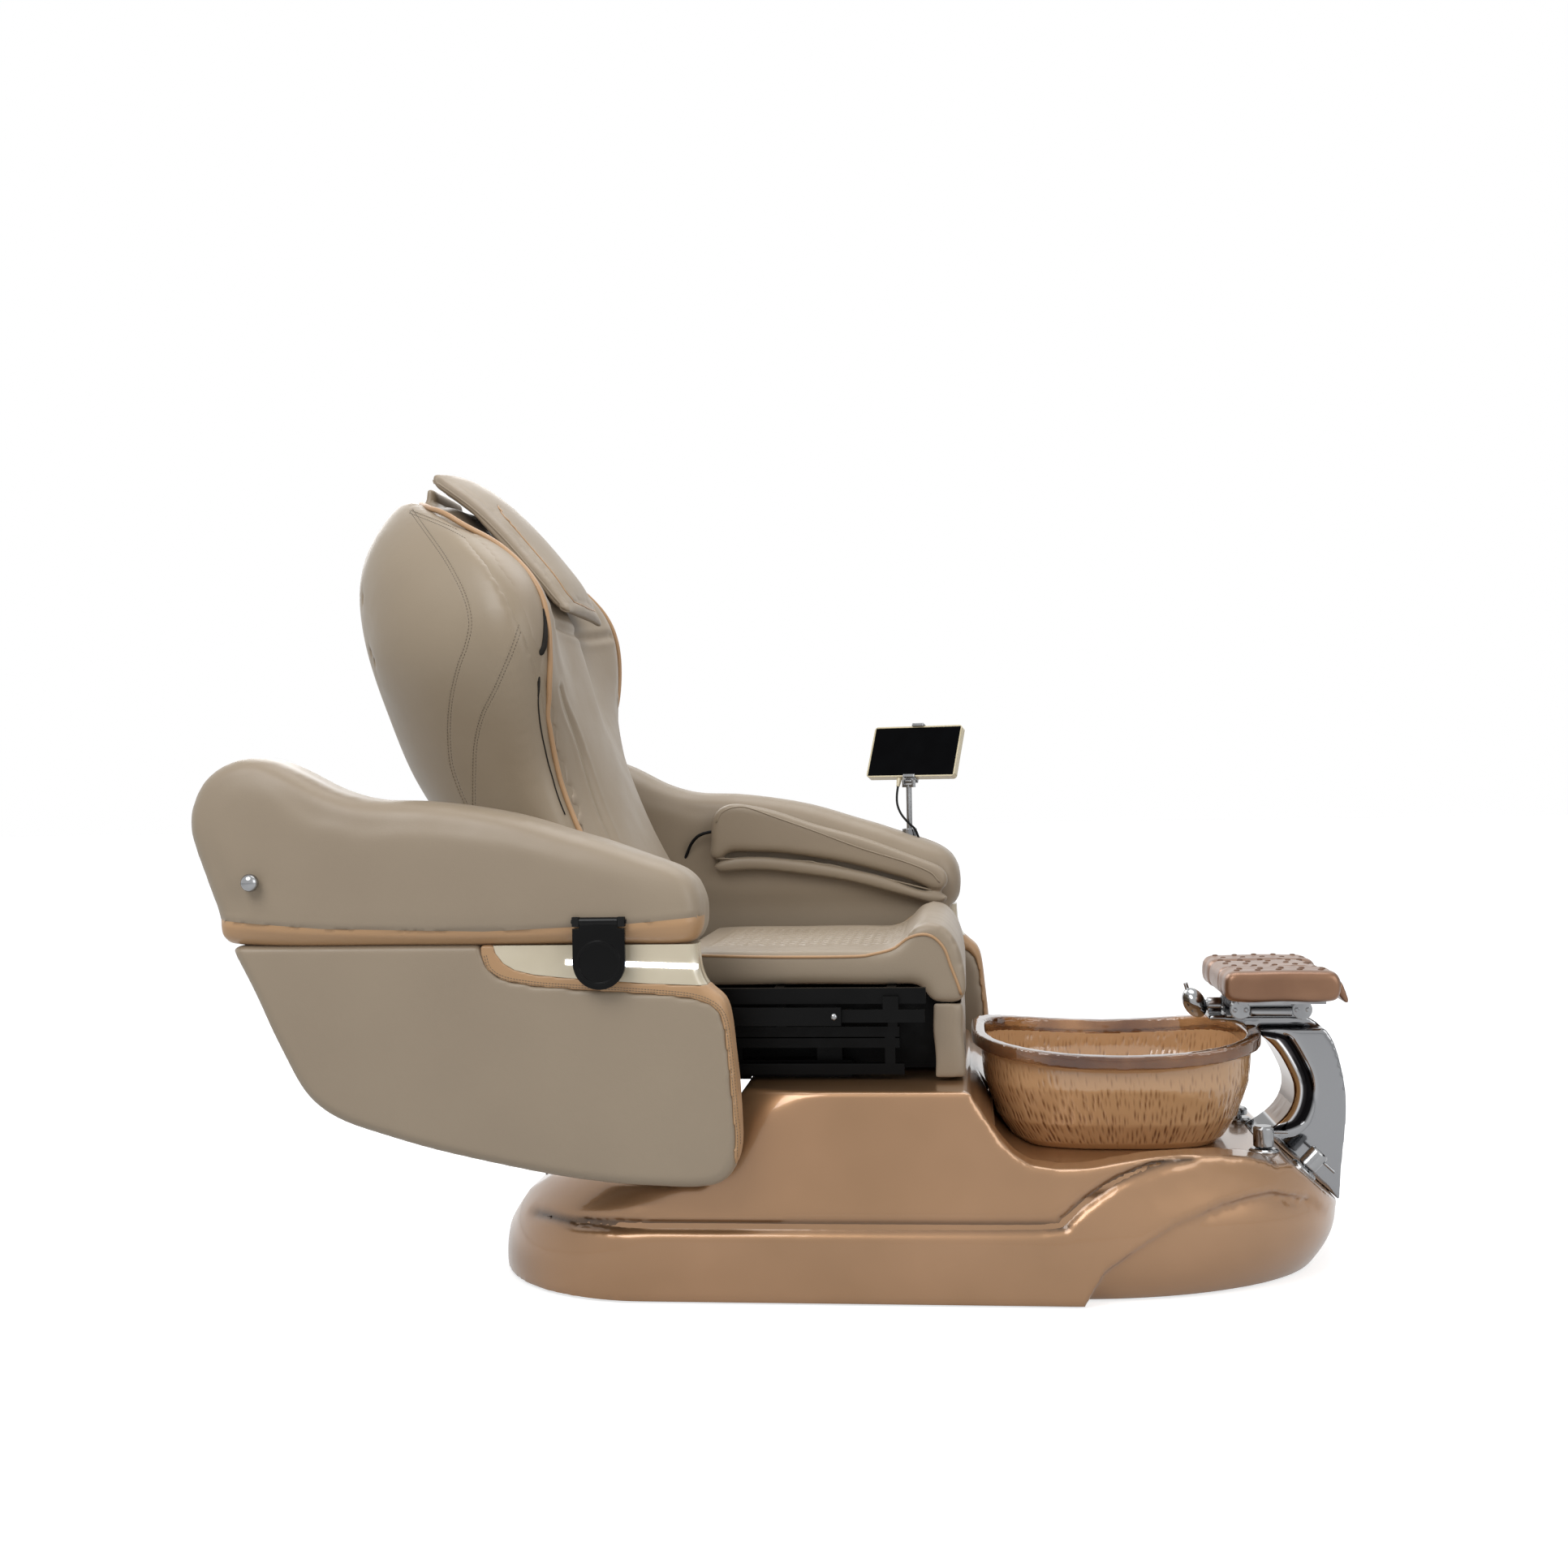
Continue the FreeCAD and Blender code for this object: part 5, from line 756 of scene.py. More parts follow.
def quilted(piece, pitch, depth, middle, half):
    """Sew a diamond pattern into the top: valleys along x + y and x - y = k times the pitch, bell-shaped,
    fading at the border of the panel."""
    points, normals = places(piece), outward(piece)
    shift = points - np.array(middle)
    valley = np.zeros(len(points))
    for line in (shift[:, 0] + shift[:, 1], shift[:, 0] - shift[:, 1]):
        gap = np.abs((line / pitch + 0.5) % 1.0 - 0.5) * pitch
        valley = np.maximum(valley, np.exp(-(gap / (3.6 * MM)) ** 2))
    edge = np.minimum((half[0] - np.abs(shift[:, 0])) / (8 * MM), (half[1] - np.abs(shift[:, 1])) / (8 * MM))
    share = np.clip(edge, 0, 1) * np.clip((normals[:, 2] - 0.75) / 0.15, 0, 1)
    moved_to(piece, points - normals * (depth * valley * share)[:, None])


seat = stuffed("seat_cushion_cover", ["seat_cushion"], TAUPE, "chair", 8 * MM, 8 * MM, 6 * MM, above_frame)
finer(seat)
quilted(seat, 34 * MM, 3.4 * MM, (-0.16, 0.0, 0.0), (0.155, 0.17))
border = mm([(-315, -172), (-315, 172), (-5, 172), (-5, -172)])
sewn(seat, [np.vstack([smooth_line(border[[i, (i + 1) % 4]], 5 * MM) for i in range(4)])], 2.2 * MM, 4 * MM, (0, 1),
     lambda points, normals: np.clip((normals[:, 2] - 0.7) / 0.2, 0, 1))
seat_tree = surface_of(seat)
SEAT_PIPING = mm([(-330, 510), (-206, 507), (-79, 507), (-47, 510), (-15, 518), (8, 534), (29, 541), (48, 537), (65, 519),
                  (75, 491), (85, 464), (90, 447)])
for side, label in ((-1, "right"), (1, "left")):
    line, normals = on_side([seat_tree], smooth_line(SEAT_PIPING, 7 * MM), side, 0.6 * MM)
    tube(f"seat_piping_{label}", line, 2.4 * MM, GOLD, "chair")

apron = stretched("front_apron_cover", ["apron"], TAUPE, "chair", 6 * MM, 5, 0.3)
points = places(apron)
drape = 2.2 * MM * np.sin(points[:, 1] * 38 + 3 * np.sin(points[:, 2] * 17)) * np.clip(
    (points[:, 2].max() - points[:, 2]) / (60 * MM), 0, 1)
moved_to(apron, points + np.stack([drape, 0 * drape, 0 * drape], axis=1))

# ---------------------------------------------------------------- backrest

# the gold piping down one edge of the pad, as (x, distance from the middle, z)
PIPING = mm([(-806, 100, 1262), (-775, 160, 1246), (-738, 195, 1232), (-700, 213, 1208), (-648, 232, 1177),
             (-612, 252, 1148), (-588, 266, 1121), (-573, 276, 1101), (-560, 283, 1074), (-552, 288, 1044),
             (-549, 290, 998), (-550, 284, 947), (-552, 270, 897), (-551, 254, 851), (-546, 243, 806), (-535, 237, 760),
             (-524, 237, 727), (-514, 240, 700), (-505, 240, 672)])
back = stuffed("back_pad_cover", ["back_pad"], TAUPE, "backrest", 10 * MM, 9 * MM, 4 * MM)
back_cover = stretched("back_shell_cover", ["back_shell"], TAUPE_BACK, "backrest", 8 * MM, 5, 0.5)
lining = joined_copy("back_seam_lining", ["back_shell", "back_pad"], TAUPE_BACK, "backrest")
remeshed(lining, 8 * MM)
moved_to(lining, places(lining) - outward(lining) * 2.5 * MM)
covers = [surface_of(back), surface_of(back_cover)]
SEAM_REAR = mm([(-806, 1244), (-762, 1200), (-712, 1144), (-674, 1086), (-660, 1040), (-668, 1003), (-684, 972), (-705, 923),
                (-718, 873), (-722, 821), (-712, 779), (-699, 746), (-690, 715)])
SEAM_FRONT = mm([(-806, 1240), (-712, 1197), (-655, 1160), (-612, 1118), (-590, 1080), (-580, 1040), (-592, 994), (-622, 939),
                 (-653, 896), (-672, 853), (-681, 808), (-688, 746), (-690, 715)])
rows, seams = [], []
for side, label in ((-1, "right"), (1, "left")):
    given = smooth_line(PIPING * (1, side, 1), 9 * MM)
    held = nearest_on(covers, given, 2.6 * MM)
    free = np.clip((given[:, 2] - 1.06) / 0.10, 0, 1)[:, None] * 0.75
    line = held + (given - held) * free
    tube(f"back_piping_{label}", smooth_line(line[::3], 6 * MM), 4.6 * MM, GOLD, "backrest")
    for seam in (SEAM_REAR, SEAM_FRONT):
        seams.append(on_side([covers[1]], smooth_line(seam, 8 * MM), side)[0])
        for gap in (-2.6 * MM, 2.6 * MM):
            rows.append((side, beside(seam, gap)))
sewn(back_cover, seams, 0.5 * MM, 2.6 * MM, puff=0.2 * MM)
shell_tree = surface_of(back_cover)
stitches("back_shell_stitches", [on_side([shell_tree], line, side, 0.2 * MM) for side, line in rows], THREAD, "backrest")

# channels down the front of the pad, at a quarter of its width each side, and one across it


def on_front(tree, line, lift=0.0):
    """Drop (y, z) points on to a cover with rays that run backwards along X."""
    found, normals = [], []
    for y, z in line:
        hit, normal, index, distance = tree.ray_cast(Vector((0.6, y, z)), Vector((-1, 0, 0)))
        if hit is not None:
            found.append(hit + normal * lift)
            normals.append(normal)
    return np.array(found), np.array(normals)


pad_tree = surface_of(back)
CHANNEL = mm([(236, 935), (222, 912), (203, 890), (186, 865), (174, 825), (171, 785), (172, 735), (176, 690)])
ACROSS = mm([(-235, 1060), (-150, 1048), (-75, 1042), (0, 1040), (75, 1042), (150, 1048), (235, 1060)])
channels = []
for line in (CHANNEL, CHANNEL * (-1, 1), ACROSS):
    channels.append(on_front(pad_tree, smooth_line(line, 8 * MM))[0])
sewn(back, channels, 4.0 * MM, 7 * MM, puff=1.5 * MM)
pad_tree = surface_of(back)

# the gap between the shell and the pad, where the cover's zipper runs: a thin dark tube for the zipper, and a wider
# dark spindle in its upper part as painted shade in the gap
GAP = mm([(-550, 292, 1062), (-553, 296, 1035), (-559, 300, 1005), (-566, 302, 975), (-568, 302, 950), (-568, 295, 915),
          (-563, 284, 875), (-555, 273, 838), (-547, 262, 800), (-541, 256, 765), (-535, 252, 735)])
for side, label in ((-1, "right"), (1, "left")):
    line = nearest_on([surface_of(back_cover), surface_of(back)], smooth_line(GAP * (1, side, 1), 7 * MM), 0.8 * MM)
    share = np.linspace(0, 1, len(line))
    tube(f"back_zipper_{label}", smooth_line(line[::3], 6 * MM), 1.0 * MM, ZIPPER_AND_GAP_SHADE, "backrest")
    wide = line[share < 0.42]
    swell = np.sin(np.linspace(0.15, math.pi - 0.1, len(wide)))
    # painted shade: a dark spindle that fills the upper gap
    tube(f"back_zipper_gap_{label}", wide, (0.6 + 4.6 * swell) * MM, ZIPPER_AND_GAP_SHADE, "backrest")

# ---------------------------------------------------------------- head pillow

pillow = stuffed("head_pillow_cover", ["pillow"], TAUPE, "pillow", 5 * MM, 8 * MM, 5 * MM)
points = places(pillow)
along, across = np.array([0.745, 0.0, -0.667]), np.array([0.667, 0.0, 0.745])
run, rise = points @ along, points @ across
edges = np.linspace(run.min(), run.max() + 1e-6, 28)
cell = np.digitize(run, edges) - 1
back_line = np.array([rise[cell == one].min() for one in range(27)])
thick = rise - np.interp(run, (edges[1:] + edges[:-1]) / 2, back_line)
# it bulges across its width: full in the middle, 45 per cent of that at its side edges
bulge = 1 - 0.55 * np.clip(np.abs(points[:, 1]) / (140 * MM), 0, 1) ** 2.2
moved_to(pillow, points + (thick * (bulge - 1))[:, None] * across - 0.07 * (run - run.mean())[:, None] * along)
pillow_tree = surface_of(pillow)
# a gold seam that frames the pillow's face, as (x, distance from the middle, z) down one edge and back
LOOP = mm([(-672, -84, 1262), (-664, -98, 1250), (-650, -104, 1232), (-628, -106, 1204), (-600, -106, 1170),
           (-578, -106, 1138), (-562, -104, 1110), (-556, -96, 1096), (-554, -80, 1088), (-552, -40, 1086)])
LOOP = np.vstack([LOOP, (LOOP * (1, -1, 1))[::-1]])
loop_line = nearest_on([pillow_tree], smooth_line(LOOP, 5 * MM), 0.0)
sewn(pillow, [loop_line], 1.6 * MM, 3.5 * MM)
loop_line = nearest_on([surface_of(pillow)], smooth_line(LOOP, 5 * MM), 0.4 * MM)
tube("pillow_loop_seam", loop_line, 1.2 * MM, GOLD, "pillow")
RIDGE = mm([(-776, 134, 1296), (-738, 134, 1270), (-700, 134, 1240), (-660, 134, 1200), (-625, 134, 1160), (-592, 134, 1120),
            (-566, 134, 1088), (-548, 132, 1070)])
for side, label in ((-1, "right"), (1, "left")):
    line = nearest_on([surface_of(pillow)], smooth_line(RIDGE * (1, side, 1), 7 * MM), 0.4 * MM)
    tube(f"pillow_edge_piping_{label}", line, 1.8 * MM, TAUPE, "pillow")

# ---------------------------------------------------------------- arms

ARM_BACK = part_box("arm_upper_right")[0][0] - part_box("arm_upper_left")[0][0]
ARM_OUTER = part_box("arm_upper_left")[1][1]
STRIPE_TOP = mm([(-700, 600), (-637, 586), (-482, 573), (-233, 567), (-24, 576), (91, 586), (140, 590)])
UPPER = ("arm_upper_left", "arm_trim_left")


def above_pod(points):
    """Held at the seam with the lower pod and below it, free from 30 mm above it."""
    return (points[:, 2] - 548 * MM) / (28 * MM)


def stripe_side(points):
    """Points on the outer side of the arm below the stripe's upper line."""
    return (points[:, 1] > ARM_OUTER - 50 * MM) & (points[:, 2] < np.interp(points[:, 0], *STRIPE_TOP.T))


upper = stuffed("arm_upper_cover_left", list(UPPER), TAUPE, "left_arm", 8 * MM, 10 * MM, 3 * MM, above_pod,
                lambda source, points: source != "arm_trim_left" or points[:, 2].max() > 0.56, 14, 2.5 * MM)
sewn(upper, [STRIPE_TOP], 1.8 * MM, 4 * MM, (0, 2), lambda points, normals: np.clip((normals[:, 1] - 0.3) / 0.4, 0, 1),
     0.6 * MM)
points = places(upper)
gap = points[:, 2] - np.interp(points[:, 0], *STRIPE_TOP.T)
near = (np.abs(gap) < 2.4 * MM) & (points[:, 1] > ARM_OUTER - 60 * MM)
points[near, 2] -= gap[near]
moved_to(upper, points)
stripe = parted(upper, "arm_stripe_cover_left", GOLD, stripe_side, "left_arm", ["arm_trim_left"])
lower = stretched("arm_lower_cover_left", ["arm_lower_left"], TAUPE, "left_arm", 6 * MM, 6, 0.5, grow=2 * MM)
border = stretched("arm_border_cover_left", ["arm_trim_left"], GOLD, "left_arm", 3 * MM, 4, 0.5,
                   lambda source, points: points[:, 2].max() < 0.56)
sleeve = stretched("arm_sleeve_cover_left", ["sleeve_pads_left"], TAUPE, "left_arm", 4 * MM, 6, 0.6)
sleeve_tree = surface_of(sleeve)
FLAPS = (mm([(-364, 708), (-352, 728), (-327, 737), (-300, 734), (-250, 716), (-179, 690), (-93, 657), (-9, 630), (36, 610),
             (52, 592)]),
         mm([(-372, 640), (-316, 649), (-266, 645), (-208, 635), (-123, 620), (-52, 605), (5, 590), (50, 572)]))
piping = [on_side([sleeve_tree], smooth_line(line, 7 * MM), -1, 0.2 * MM)[0] for line in FLAPS]
for piece, name, sources, fill in (
        (upper, "arm_upper_cover_right", ["arm_upper_right", "arm_trim_right"], 0.8),
        (stripe, "arm_stripe_cover_right", ["arm_trim_right"], 0.8),
        (lower, "arm_lower_cover_right", ["arm_lower_right"], 0.5),
        (border, "arm_border_cover_right", ["arm_trim_right"], 0.5),
        (sleeve, "arm_sleeve_cover_right", ["sleeve_pads_right"], 0.6)):
    other_side(piece, name, "right_arm", sources)
for number, line in enumerate(piping, 1):
    edge = tube(f"sleeve_piping_{number}_left", smooth_line(line[::3], 6 * MM), 1.4 * MM, TAUPE, "left_arm")
    other_side(edge, f"sleeve_piping_{number}_right", "right_arm", [])

SEAM = mm([(-239, 530), (-232, 509), (-209, 493), (-160, 484), (-111, 480), (11, 472), (72, 466), (102, 456), (117, 441),
           (123, 417), (127, 380), (130, 345), (133, 300), (136, 261), (134, 205)])
trees = [surface_of(lower), surface_of(border)]
for label, side in (("left", 1), ("right", -1)):
    knob = joined_copy(f"coat_hook_knob_{label}", [f"coat_hook_{label}"], CHROME, f"{label}_arm")
    points = places(knob)
    middle = (points.max(0) + points.min(0)) / 2 * (1, 0, 1) + (0, side * 0.460, 0)
    moved_to(knob, middle + (points - middle) * (1.35, 1.1, 1.35))
    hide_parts(f"coat_hook_{label}")
rows = [on_side(trees, beside(SEAM, gap), 1, 0.2 * MM) for gap in (3.2 * MM, 6.6 * MM)]
thread = stitches("arm_border_stitches_left", rows, THREAD, "left_arm", 4.5 * MM, 3.0 * MM, 0.5 * MM)
other_side(thread, "arm_border_stitches_right", "right_arm", [])

# ---------------------------------------------------------------- cord and hose

cord = route_spline("tablet_lead", mm([(-26.337, 407.124, 770.165), (-30.335, 397.885, 748.379), (-24, 384, 722),
                                       (-6, 376, 700), (9, 379, 688), (14, 382, 666)]), 2.2 * MM)
cord.data.materials.append(BLACK)
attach(cord, "left_arm")
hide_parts("tablet_cord")
hose = route_spline("sleeve_air_hose", mm([(-364, 300, 692), (-394, 300, 690), (-415, 304, 671), (-425, 312, 648),
                                           (-436, 329, 628)]), 3.0 * MM)
hose.data.materials.append(BLACK)
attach(hose, "left_arm")
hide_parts("sleeve_hose")


# ---------------------------------------------------------------- shell, bowl and footrest

def even_rays(count):
    """Even directions over a sphere: a golden-angle spiral."""
    step = np.arange(count) + 0.5
    height = 1 - 2 * step / count
    turn = step * math.pi * (3 - math.sqrt(5))
    flat = np.sqrt(1 - height ** 2)
    return np.stack([flat * np.cos(turn), flat * np.sin(turn), height], axis=1)


def seen_outside(points, faces, count=90, least=2):
    """Whether each triangle of a shell that is open below sees the outside: with a lid laid under the shell,
    at least so many of the rays that leave its outer side meet nothing."""
    low, high = points.min(0), points.max(0)
    lid = [(low[0], low[1], low[2]), (high[0], low[1], low[2]), (high[0], high[1], low[2]), (low[0], high[1], low[2])]
    under = len(points) + np.array([(0, 1, 2), (0, 2, 3)])
    tree = BVHTree.FromPolygons(points.tolist() + lid, faces.tolist() + under.tolist())
    corner = points[faces]
    normal = np.cross(corner[:, 1] - corner[:, 0], corner[:, 2] - corner[:, 0])
    normal /= np.linalg.norm(normal, axis=1, keepdims=True) + 1e-15
    start = corner.mean(1) + normal * 0.1 * MM
    fan = even_rays(count)
    ways = [Vector(way) for way in fan]
    ahead = normal @ fan.T > 0.1

    def reached(place, chosen):
        """Whether enough of the chosen rays from a place meet nothing."""
        free = 0
        for number in chosen:
            free += tree.ray_cast(place, ways[number])[0] is None
            if free == least:
                return True
        return False

    return np.array([reached(Vector(place), np.flatnonzero(row)) for place, row in zip(start, ahead)])


def closed_skin(name, inside, source, finish, body, voxel, rounds):
    """A rounded copy of a thin CAD shell: its outer triangles alone, every opening filled, remeshed, relaxed
    and cut level 3 mm above its foot, so that the filled bottom goes; the inner triangles stay as they are."""
    points, faces = max(solids_of(source), key=lambda part: len(part[1]))
    outer = seen_outside(points, faces)
    for label, chosen in ((name, outer), (inside, ~outer)):
        used, index = np.unique(faces[chosen], return_inverse=True)
        piece = mesh_piece(label, points[used], index.reshape(-1, 3), finish, body)
        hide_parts(source)
    piece = bpy.data.objects[name]
    work = bmesh.new()
    work.from_mesh(piece.data)
    bmesh.ops.holes_fill(work, edges=[edge for edge in work.edges if edge.is_boundary], sides=0)
    bmesh.ops.triangulate(work, faces=work.faces[:])
    bmesh.ops.recalc_face_normals(work, faces=work.faces[:])
    work.to_mesh(piece.data)
    work.free()
    remeshed(piece, voxel)
    relax = piece.modifiers.new("relax", "SMOOTH")
    relax.factor, relax.iterations = 0.5, rounds
    baked(piece)
    work = bmesh.new()
    work.from_mesh(piece.data)
    bmesh.ops.bisect_plane(work, geom=work.verts[:] + work.edges[:] + work.faces[:], plane_no=(0, 0, 1),
                           plane_co=(0, 0, points[:, 2].min() + 3 * MM), clear_inner=True)
    work.to_mesh(piece.data)
    work.free()
    piece.data.polygons.foreach_set("use_smooth", np.ones(len(piece.data.polygons), bool))
    return piece


def moulded(name, sources, finish, body, voxel, rounds):
    """A moulded piece with rounded edges over CAD solids: remeshed, relaxed and subdivided once."""
    piece = joined_copy(name, sources, finish, body)
    remeshed(piece, voxel)
    finer(piece, rounds)
    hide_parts(*sources)
    return piece


shell = closed_skin("base_shell_skin", "base_shell_inside", "base_shell", PEARL, "base", 5.4 * MM, 4)
# the long groove in both sides, which sweeps up to the front edge, as (x, z)
GROOVE = mm([(-610, 106), (-559, 111), (-509, 112), (-434, 114), (-138, 115), (206, 117), (236, 124), (268, 152),
             (320, 184), (378, 206), (428, 213)])
points, normals = places(shell), outward(shell)
gap = distance_to(points, [GROOVE], (0, 2))
side = np.clip((np.abs(normals[:, 1]) - 0.25) / 0.3, 0, 1) * np.clip((np.abs(points[:, 1]) - 250 * MM) / (30 * MM), 0, 1)
moved_to(shell, points - normals * (5 * MM * side * np.exp(-(gap / (8 * MM)) ** 2))[:, None])
# painted shade for the groove: a mask, strongest along its middle line on the sides, that darkens the gelcoat's colour
kept(shell, "groove", side * np.exp(-(gap / (6.5 * MM)) ** 2))

# the vent at the rear: its panel lies 3 mm above the slope, with a row of slats
vent = joined_copy("rear_vent_cover", ["rear_vent_panel"], GLOSS_BLACK, "base")
points = places(vent)
VENT_UP = np.array([-math.sin(math.radians(26)), 0.0, math.cos(math.radians(26))])
moved_to(vent, points + VENT_UP * 5 * MM)
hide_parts("rear_vent_panel")

# the glass bowl: upright dashes pressed into the wall below a smooth thick rim, whose lower edge is a
# parabola along X that is lowest at the middle
RIM_LOW, RIM_BEND = 322 * MM, 0.40
BOWL_MIDDLE = np.array(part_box("foot_bowl"))[:, 0].mean()


def below_rim(points):
    """How far each point lies under the rim's lower edge."""
    return RIM_LOW + RIM_BEND * (points[:, 0] - BOWL_MIDDLE) ** 2 - points[:, 2]


def hammered(points, pitch, tall, seed):
    """A field of overlapping upright dashes, one for each cell of a jittered grid round the wall: a bell
    narrow along the wall and long in height, leaning a little; the deepest dash at each point counts."""
    along = np.arctan2(points[:, 1], points[:, 0] - BOWL_MIDDLE) * 200 * MM
    cell = np.stack([along / pitch, points[:, 2] / tall], axis=1)
    home = np.floor(cell)
    depth = np.zeros(len(points))
    for step in np.stack(np.meshgrid((-1, 0, 1), (-1, 0, 1)), axis=-1).reshape(-1, 2):
        near = home + step
        mix = np.sin(near @ np.array([[12.9898, 39.346], [78.233, 11.135]]) + seed) * 43758.5453
        jitter = mix - np.floor(mix)
        gap = cell - near - 0.5 - (jitter - 0.5) * 0.8
        lean = gap[:, 0] + 0.25 * gap[:, 1]
        bell = np.exp(-(lean / 0.24) ** 2 - (gap[:, 1] / 0.42) ** 2)
        depth = np.maximum(depth, (0.3 + 0.7 * jitter[:, 0]) * bell)
    return depth


bowl = moulded("foot_bowl_wall", ["foot_bowl"], GLASS, "base", 3.2 * MM, 3)
parted(bowl, "foot_bowl_rim", RIM, lambda middles: below_rim(middles) < 0, "base", ["foot_bowl"])
points, normals = places(bowl), outward(bowl)
wall = np.clip((0.8 - np.abs(normals[:, 2])) / 0.2, 0, 1) * np.clip((below_rim(points) - 2 * MM) / (6 * MM), 0, 1)
pressed = wall * hammered(points, 7 * MM, 21 * MM, 3.7) * np.clip(0.35 + below_rim(points) / 0.15, 0, 1)
moved_to(bowl, points - normals * (1.8 * MM * pressed)[:, None])
# the dash depth also drives the glass's painted shade in the dents
kept(bowl, "dash", pressed)

# the column: a pressed hollow follows its curved inner edge on both flanks, and the chrome's painted reflections
# (bronze band, bright line, dark streak) follow the same edge
INNER = mm([(563, 186), (596, 206), (622, 234), (630, 268), (620, 300), (594, 341), (550, 368), (498, 374)])
column = moulded("column_body", ["column"], PAINTED_REFLECTION_CHROME, "base", 3.4 * MM, 5)
points, normals = places(column), outward(column)
inset = distance_to(points, [INNER], (0, 2))
flank = np.clip((np.abs(normals[:, 1]) - 0.5) / 0.3, 0, 1)
tall = np.clip((points[:, 2] - 190 * MM) / (25 * MM), 0, 1) * np.clip((368 * MM - points[:, 2]) / (20 * MM), 0, 1)
hollow = flank * tall * np.exp(-((inset - 23 * MM) / (9 * MM)) ** 2)
moved_to(column, points - normals * (6 * MM * hollow)[:, None])
# the distance from the inner edge that places the chrome's painted reflection bands
kept(column, "inset", 1 - (1 - np.clip(inset / (40 * MM), 0, 1)) * tall)

# the footrest's pads, with low round dots in two rows along each
pads = moulded("footrest_pad_covers", ["footrest_pads"], PAD, "footrest", 3.6 * MM, 7)
pad_top = surface_of(pads)
DOT_RADIUS, DOT_HEIGHT, DOT_PITCH = 5.5 * MM, 1.8 * MM, 33 * MM


def dots(name, tree, rows, finish, body):
    """Round dots on a surface: each a flattened dome of rings of points about its middle, laid along the
    surface under it; rows gives (y, first x, count)."""
    ring = np.array([1.0, 0.86, 0.6, 0.3])
    lift = np.array([-0.4, 0.45, 0.85, 1.0])
    turn = np.linspace(0, 2 * math.pi, 14, endpoint=False)
    shape = np.stack([np.outer(ring, np.cos(turn)), np.outer(ring, np.sin(turn)), np.repeat(lift, 14).reshape(4, 14)],
                     axis=-1).reshape(-1, 3) * (DOT_RADIUS, DOT_RADIUS, DOT_HEIGHT)
    block, shapes, faces = grid_faces(4, 14, True), [], []
    for y, first, count in rows:
        for x in first + DOT_PITCH * np.arange(count):
            hit, normal, index, distance = tree.ray_cast(Vector((x, y, 1.0)), Vector((0, 0, -1)))
            if hit is None:
                continue
            ahead = Vector((1, 0, 0)).cross(normal).cross(normal).normalized()
            frame_of = np.array([ahead, normal.cross(ahead), normal])
            start = len(shapes) * len(shape)
            shapes.append(np.array(hit) + shape @ frame_of)
            faces += (block + start).tolist() + [list(range(start + 42, start + 56))]
    return mesh_piece(name, np.vstack(shapes), faces, finish, body)


low, high = (np.array(corner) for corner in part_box("footrest_pads"))
dots("footrest_dots", pad_top, [(y, low[0] + (22 + 9 * (index % 2)) * MM, 5 + index % 2)
                                for index, y in enumerate(np.array([-126, -92, -62, -34, 0, 34, 62, 92, 126]) * MM)],
     DOTS_PAINTED_DARKER, "footrest")



# ---------------------------------------------------------------- under the seat

def plate(name, low, high, finish, body):
    """A flat plate between two corners: a box with its eight corners given by low and high."""
    corner = np.stack(np.meshgrid((0, 1), (0, 1), (0, 1), indexing="ij"), axis=-1).reshape(-1, 3)
    points = np.array(low) + corner * (np.array(high) - np.array(low))
    faces = ((0, 1, 3, 2), (4, 6, 7, 5), (0, 4, 5, 1), (2, 3, 7, 6), (0, 2, 6, 4), (1, 5, 7, 3))
    piece = mesh_piece(name, points, faces, finish, body)
    piece.data.polygons.foreach_set("use_smooth", np.zeros(6, bool))
    return piece


# black sheets behind the slides that close the view under the seat: partly the black mechanism, partly painted shade in
# the recess under the seat
for side, label in ((-1, "right"), (1, "left")):
    edge = sorted((side * 157 * MM, side * 160 * MM))
    plate(f"mechanism_shroud_{label}", (-0.395, edge[0], 0.318), (0.070, edge[1], 0.436), COAT, "chair")
    plate(f"mechanism_skirt_{label}", (-0.395, edge[0], 0.299), (-0.252, edge[1], 0.318), COAT, "chair")
    plate(f"mechanism_tail_{label}", (-0.395, edge[0], 0.262), (-0.272, edge[1], 0.299), COAT, "chair")
    turn = np.linspace(0, math.pi / 2, 5)
    head = np.stack([5.5 * MM * np.cos(turn), 4 * MM * np.sin(turn)], axis=1)
    middle, ring = np.array([-0.105, side * 0.3164, 0.420]), np.linspace(0, 2 * math.pi, 16, endpoint=False)
    points = [(middle[0] + reach * np.cos(a), middle[1] + side * rise, middle[2] + side * reach * np.sin(a))
              for reach, rise in head for a in ring]
    mesh_piece(f"rail_bolt_{label}", points, grid_faces(5, 16, True)[:, ::-1], CHROME, f"{label}_rail")


# ---------------------------------------------------------------- studio

def see_white(made, colour):
    """Show a plain white to the camera, to reflections and through glass, and the given shading otherwise."""
    tree = made.node_tree
    output = [item for item in tree.nodes if item.type.startswith("OUTPUT")][0]
    shaded = output.inputs["Surface"].links[0].from_socket
    rays = add(tree, "ShaderNodeLightPath")
    either = add(tree, "ShaderNodeMath", {0: rays.outputs["Is Camera Ray"], 1: rays.outputs["Is Glossy Ray"]},
                 operation="MAXIMUM")
    seen = add(tree, "ShaderNodeMath", {0: either.outputs["Value"], 1: rays.outputs["Is Transmission Ray"]},
               operation="MAXIMUM")
    white = add(tree, "ShaderNodeBackground", {"Color": (*colour, 1.0), "Strength": 1.0})
    mix = add(tree, "ShaderNodeMixShader", {0: seen.outputs["Value"], 1: shaded, 2: white.outputs["Background"]})
    tree.links.new(mix.outputs["Shader"], output.inputs["Surface"])


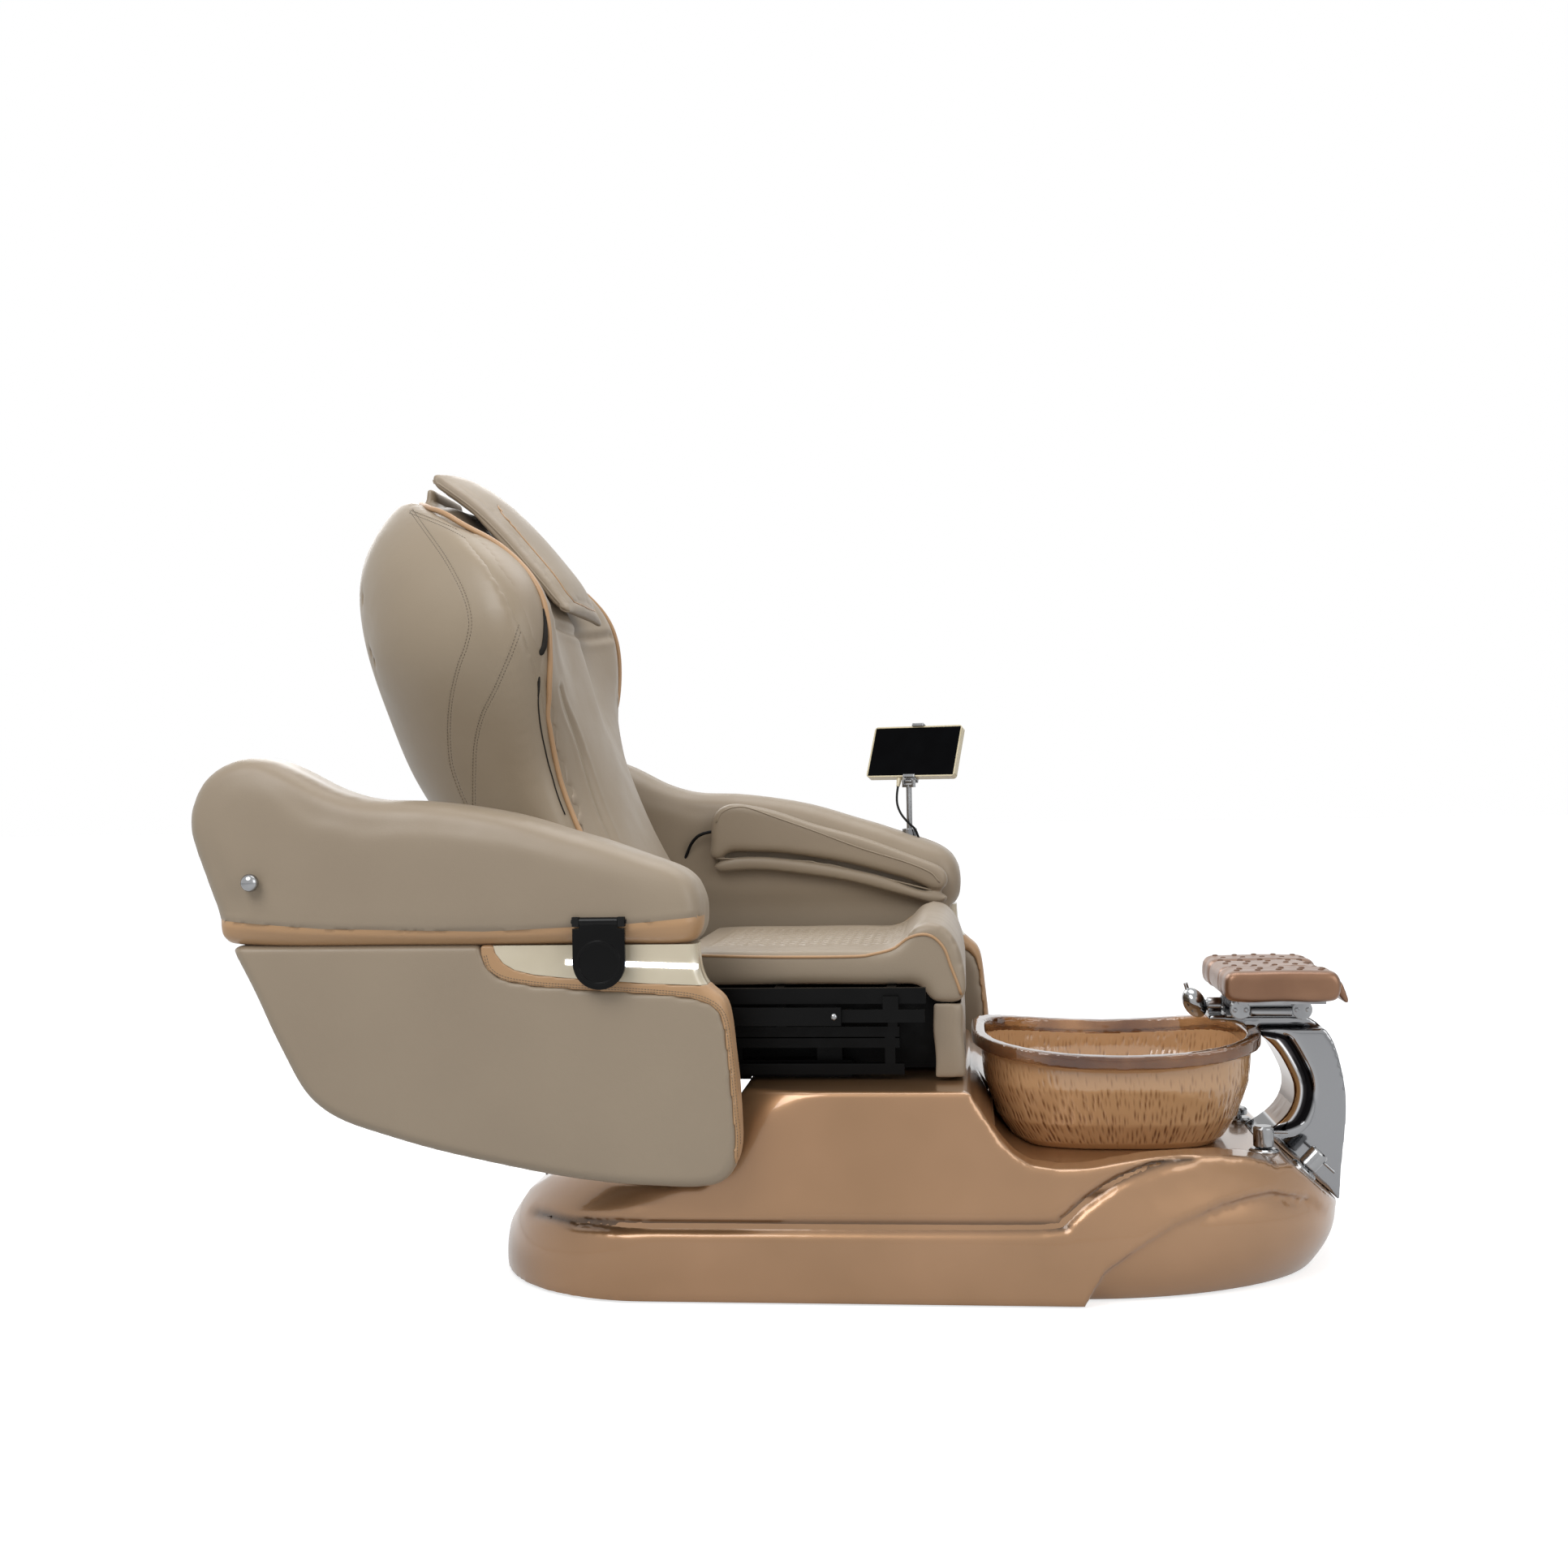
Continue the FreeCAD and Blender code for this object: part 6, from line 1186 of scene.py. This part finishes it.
def studio():
    """A pale floor that fades into a white surround, black flags that only reflections see, and large soft lamps
    above and to both sides."""
    world = bpy.data.worlds.new("studio")
    world.use_nodes = True
    world.node_tree.nodes["Background"].inputs["Color"].default_value = (0.80, 0.82, 0.85, 1.0)
    world.node_tree.nodes["Background"].inputs["Strength"].default_value = 0.55
    see_white(world, (1.0, 1.0, 1.0))
    bpy.context.scene.world = world
    made, tree, shader, place = material("pale floor", Roughness=0.6, Specular_IOR_Level=0.2)
    shader.inputs["Base Color"].default_value = (0.55, 0.55, 0.55, 1.0)
    rays = add(tree, "ShaderNodeLightPath")
    seen = add(tree, "ShaderNodeMath", {0: rays.outputs["Is Camera Ray"], 1: rays.outputs["Is Transmission Ray"]},
               operation="MAXIMUM")
    mirrored = add(tree, "ShaderNodeMath", {0: rays.outputs["Is Glossy Ray"], 1: 0.35}, operation="MULTIPLY")
    shader.inputs["Emission Color"].default_value = (1.0, 1.0, 1.0, 1.0)
    glow = add(tree, "ShaderNodeMath", {0: seen.outputs["Value"], 1: 0.72, 2: mirrored.outputs["Value"]},
               operation="MULTIPLY_ADD")
    tree.links.new(glow.outputs["Value"], shader.inputs["Emission Strength"])
    mesh = bpy.data.meshes.new("floor")
    reach = 30.0
    mesh.from_pydata([(-reach, -reach, -0.0015), (reach, -reach, -0.0015), (reach, reach, -0.0015),
                      (-reach, reach, -0.0015)], [], [(0, 1, 2, 3)])
    mesh.materials.append(made)
    floor = bpy.data.objects.new("floor", mesh)
    bpy.context.scene.collection.objects.link(floor)
    black, tree, shader, place = material("black flag", Roughness=1.0, Specular_IOR_Level=0.0)
    shader.inputs["Base Color"].default_value = (0.0, 0.0, 0.0, 1.0)
    for name, x, y, wide, low, high in (("front flag", 2.7, 0.2, 0.7, 0.5, 2.2), ("rear flag", 2.4, 1.8, 0.7, 0.0, 2.2)):
        across = np.array([y, -x, 0]) / math.hypot(x, y) * wide / 2
        mesh = bpy.data.meshes.new(name)
        mesh.from_pydata([np.array([x, y, low]) - across, np.array([x, y, low]) + across,
                          np.array([x, y, high]) + across, np.array([x, y, high]) - across], [], [(0, 1, 2, 3)])
        mesh.materials.append(black)
        flag = bpy.data.objects.new(name, mesh)
        bpy.context.scene.collection.objects.link(flag)
        flag.visible_camera = flag.visible_diffuse = flag.visible_shadow = flag.visible_transmission = False
    for name, place, size, power, aim in (
            ("key lamp", (-1.6, -2.6, 3.2), 2.4, 80, (0, 0, 0.5)),
            ("fill lamp", (2.8, -2.2, 1.9), 2.6, 36, (0, 0, 0.4)),
            ("top lamp", (0.2, 0.6, 3.6), 2.8, 52, (0, 0, 0.5)),
            ("rim lamp", (-1.8, 2.8, 2.4), 2.2, 38, (0, 0, 0.6))):
        data = bpy.data.lights.new(name, "AREA")
        data.shape, data.size, data.energy = "DISK", size, power
        lamp = bpy.data.objects.new(name, data)
        lamp.location = place
        lamp.rotation_euler = (Vector(aim) - Vector(place)).to_track_quat("-Z", "Y").to_euler()
        bpy.context.scene.collection.objects.link(lamp)


studio()
bpy.context.scene.view_settings.view_transform = "Standard"
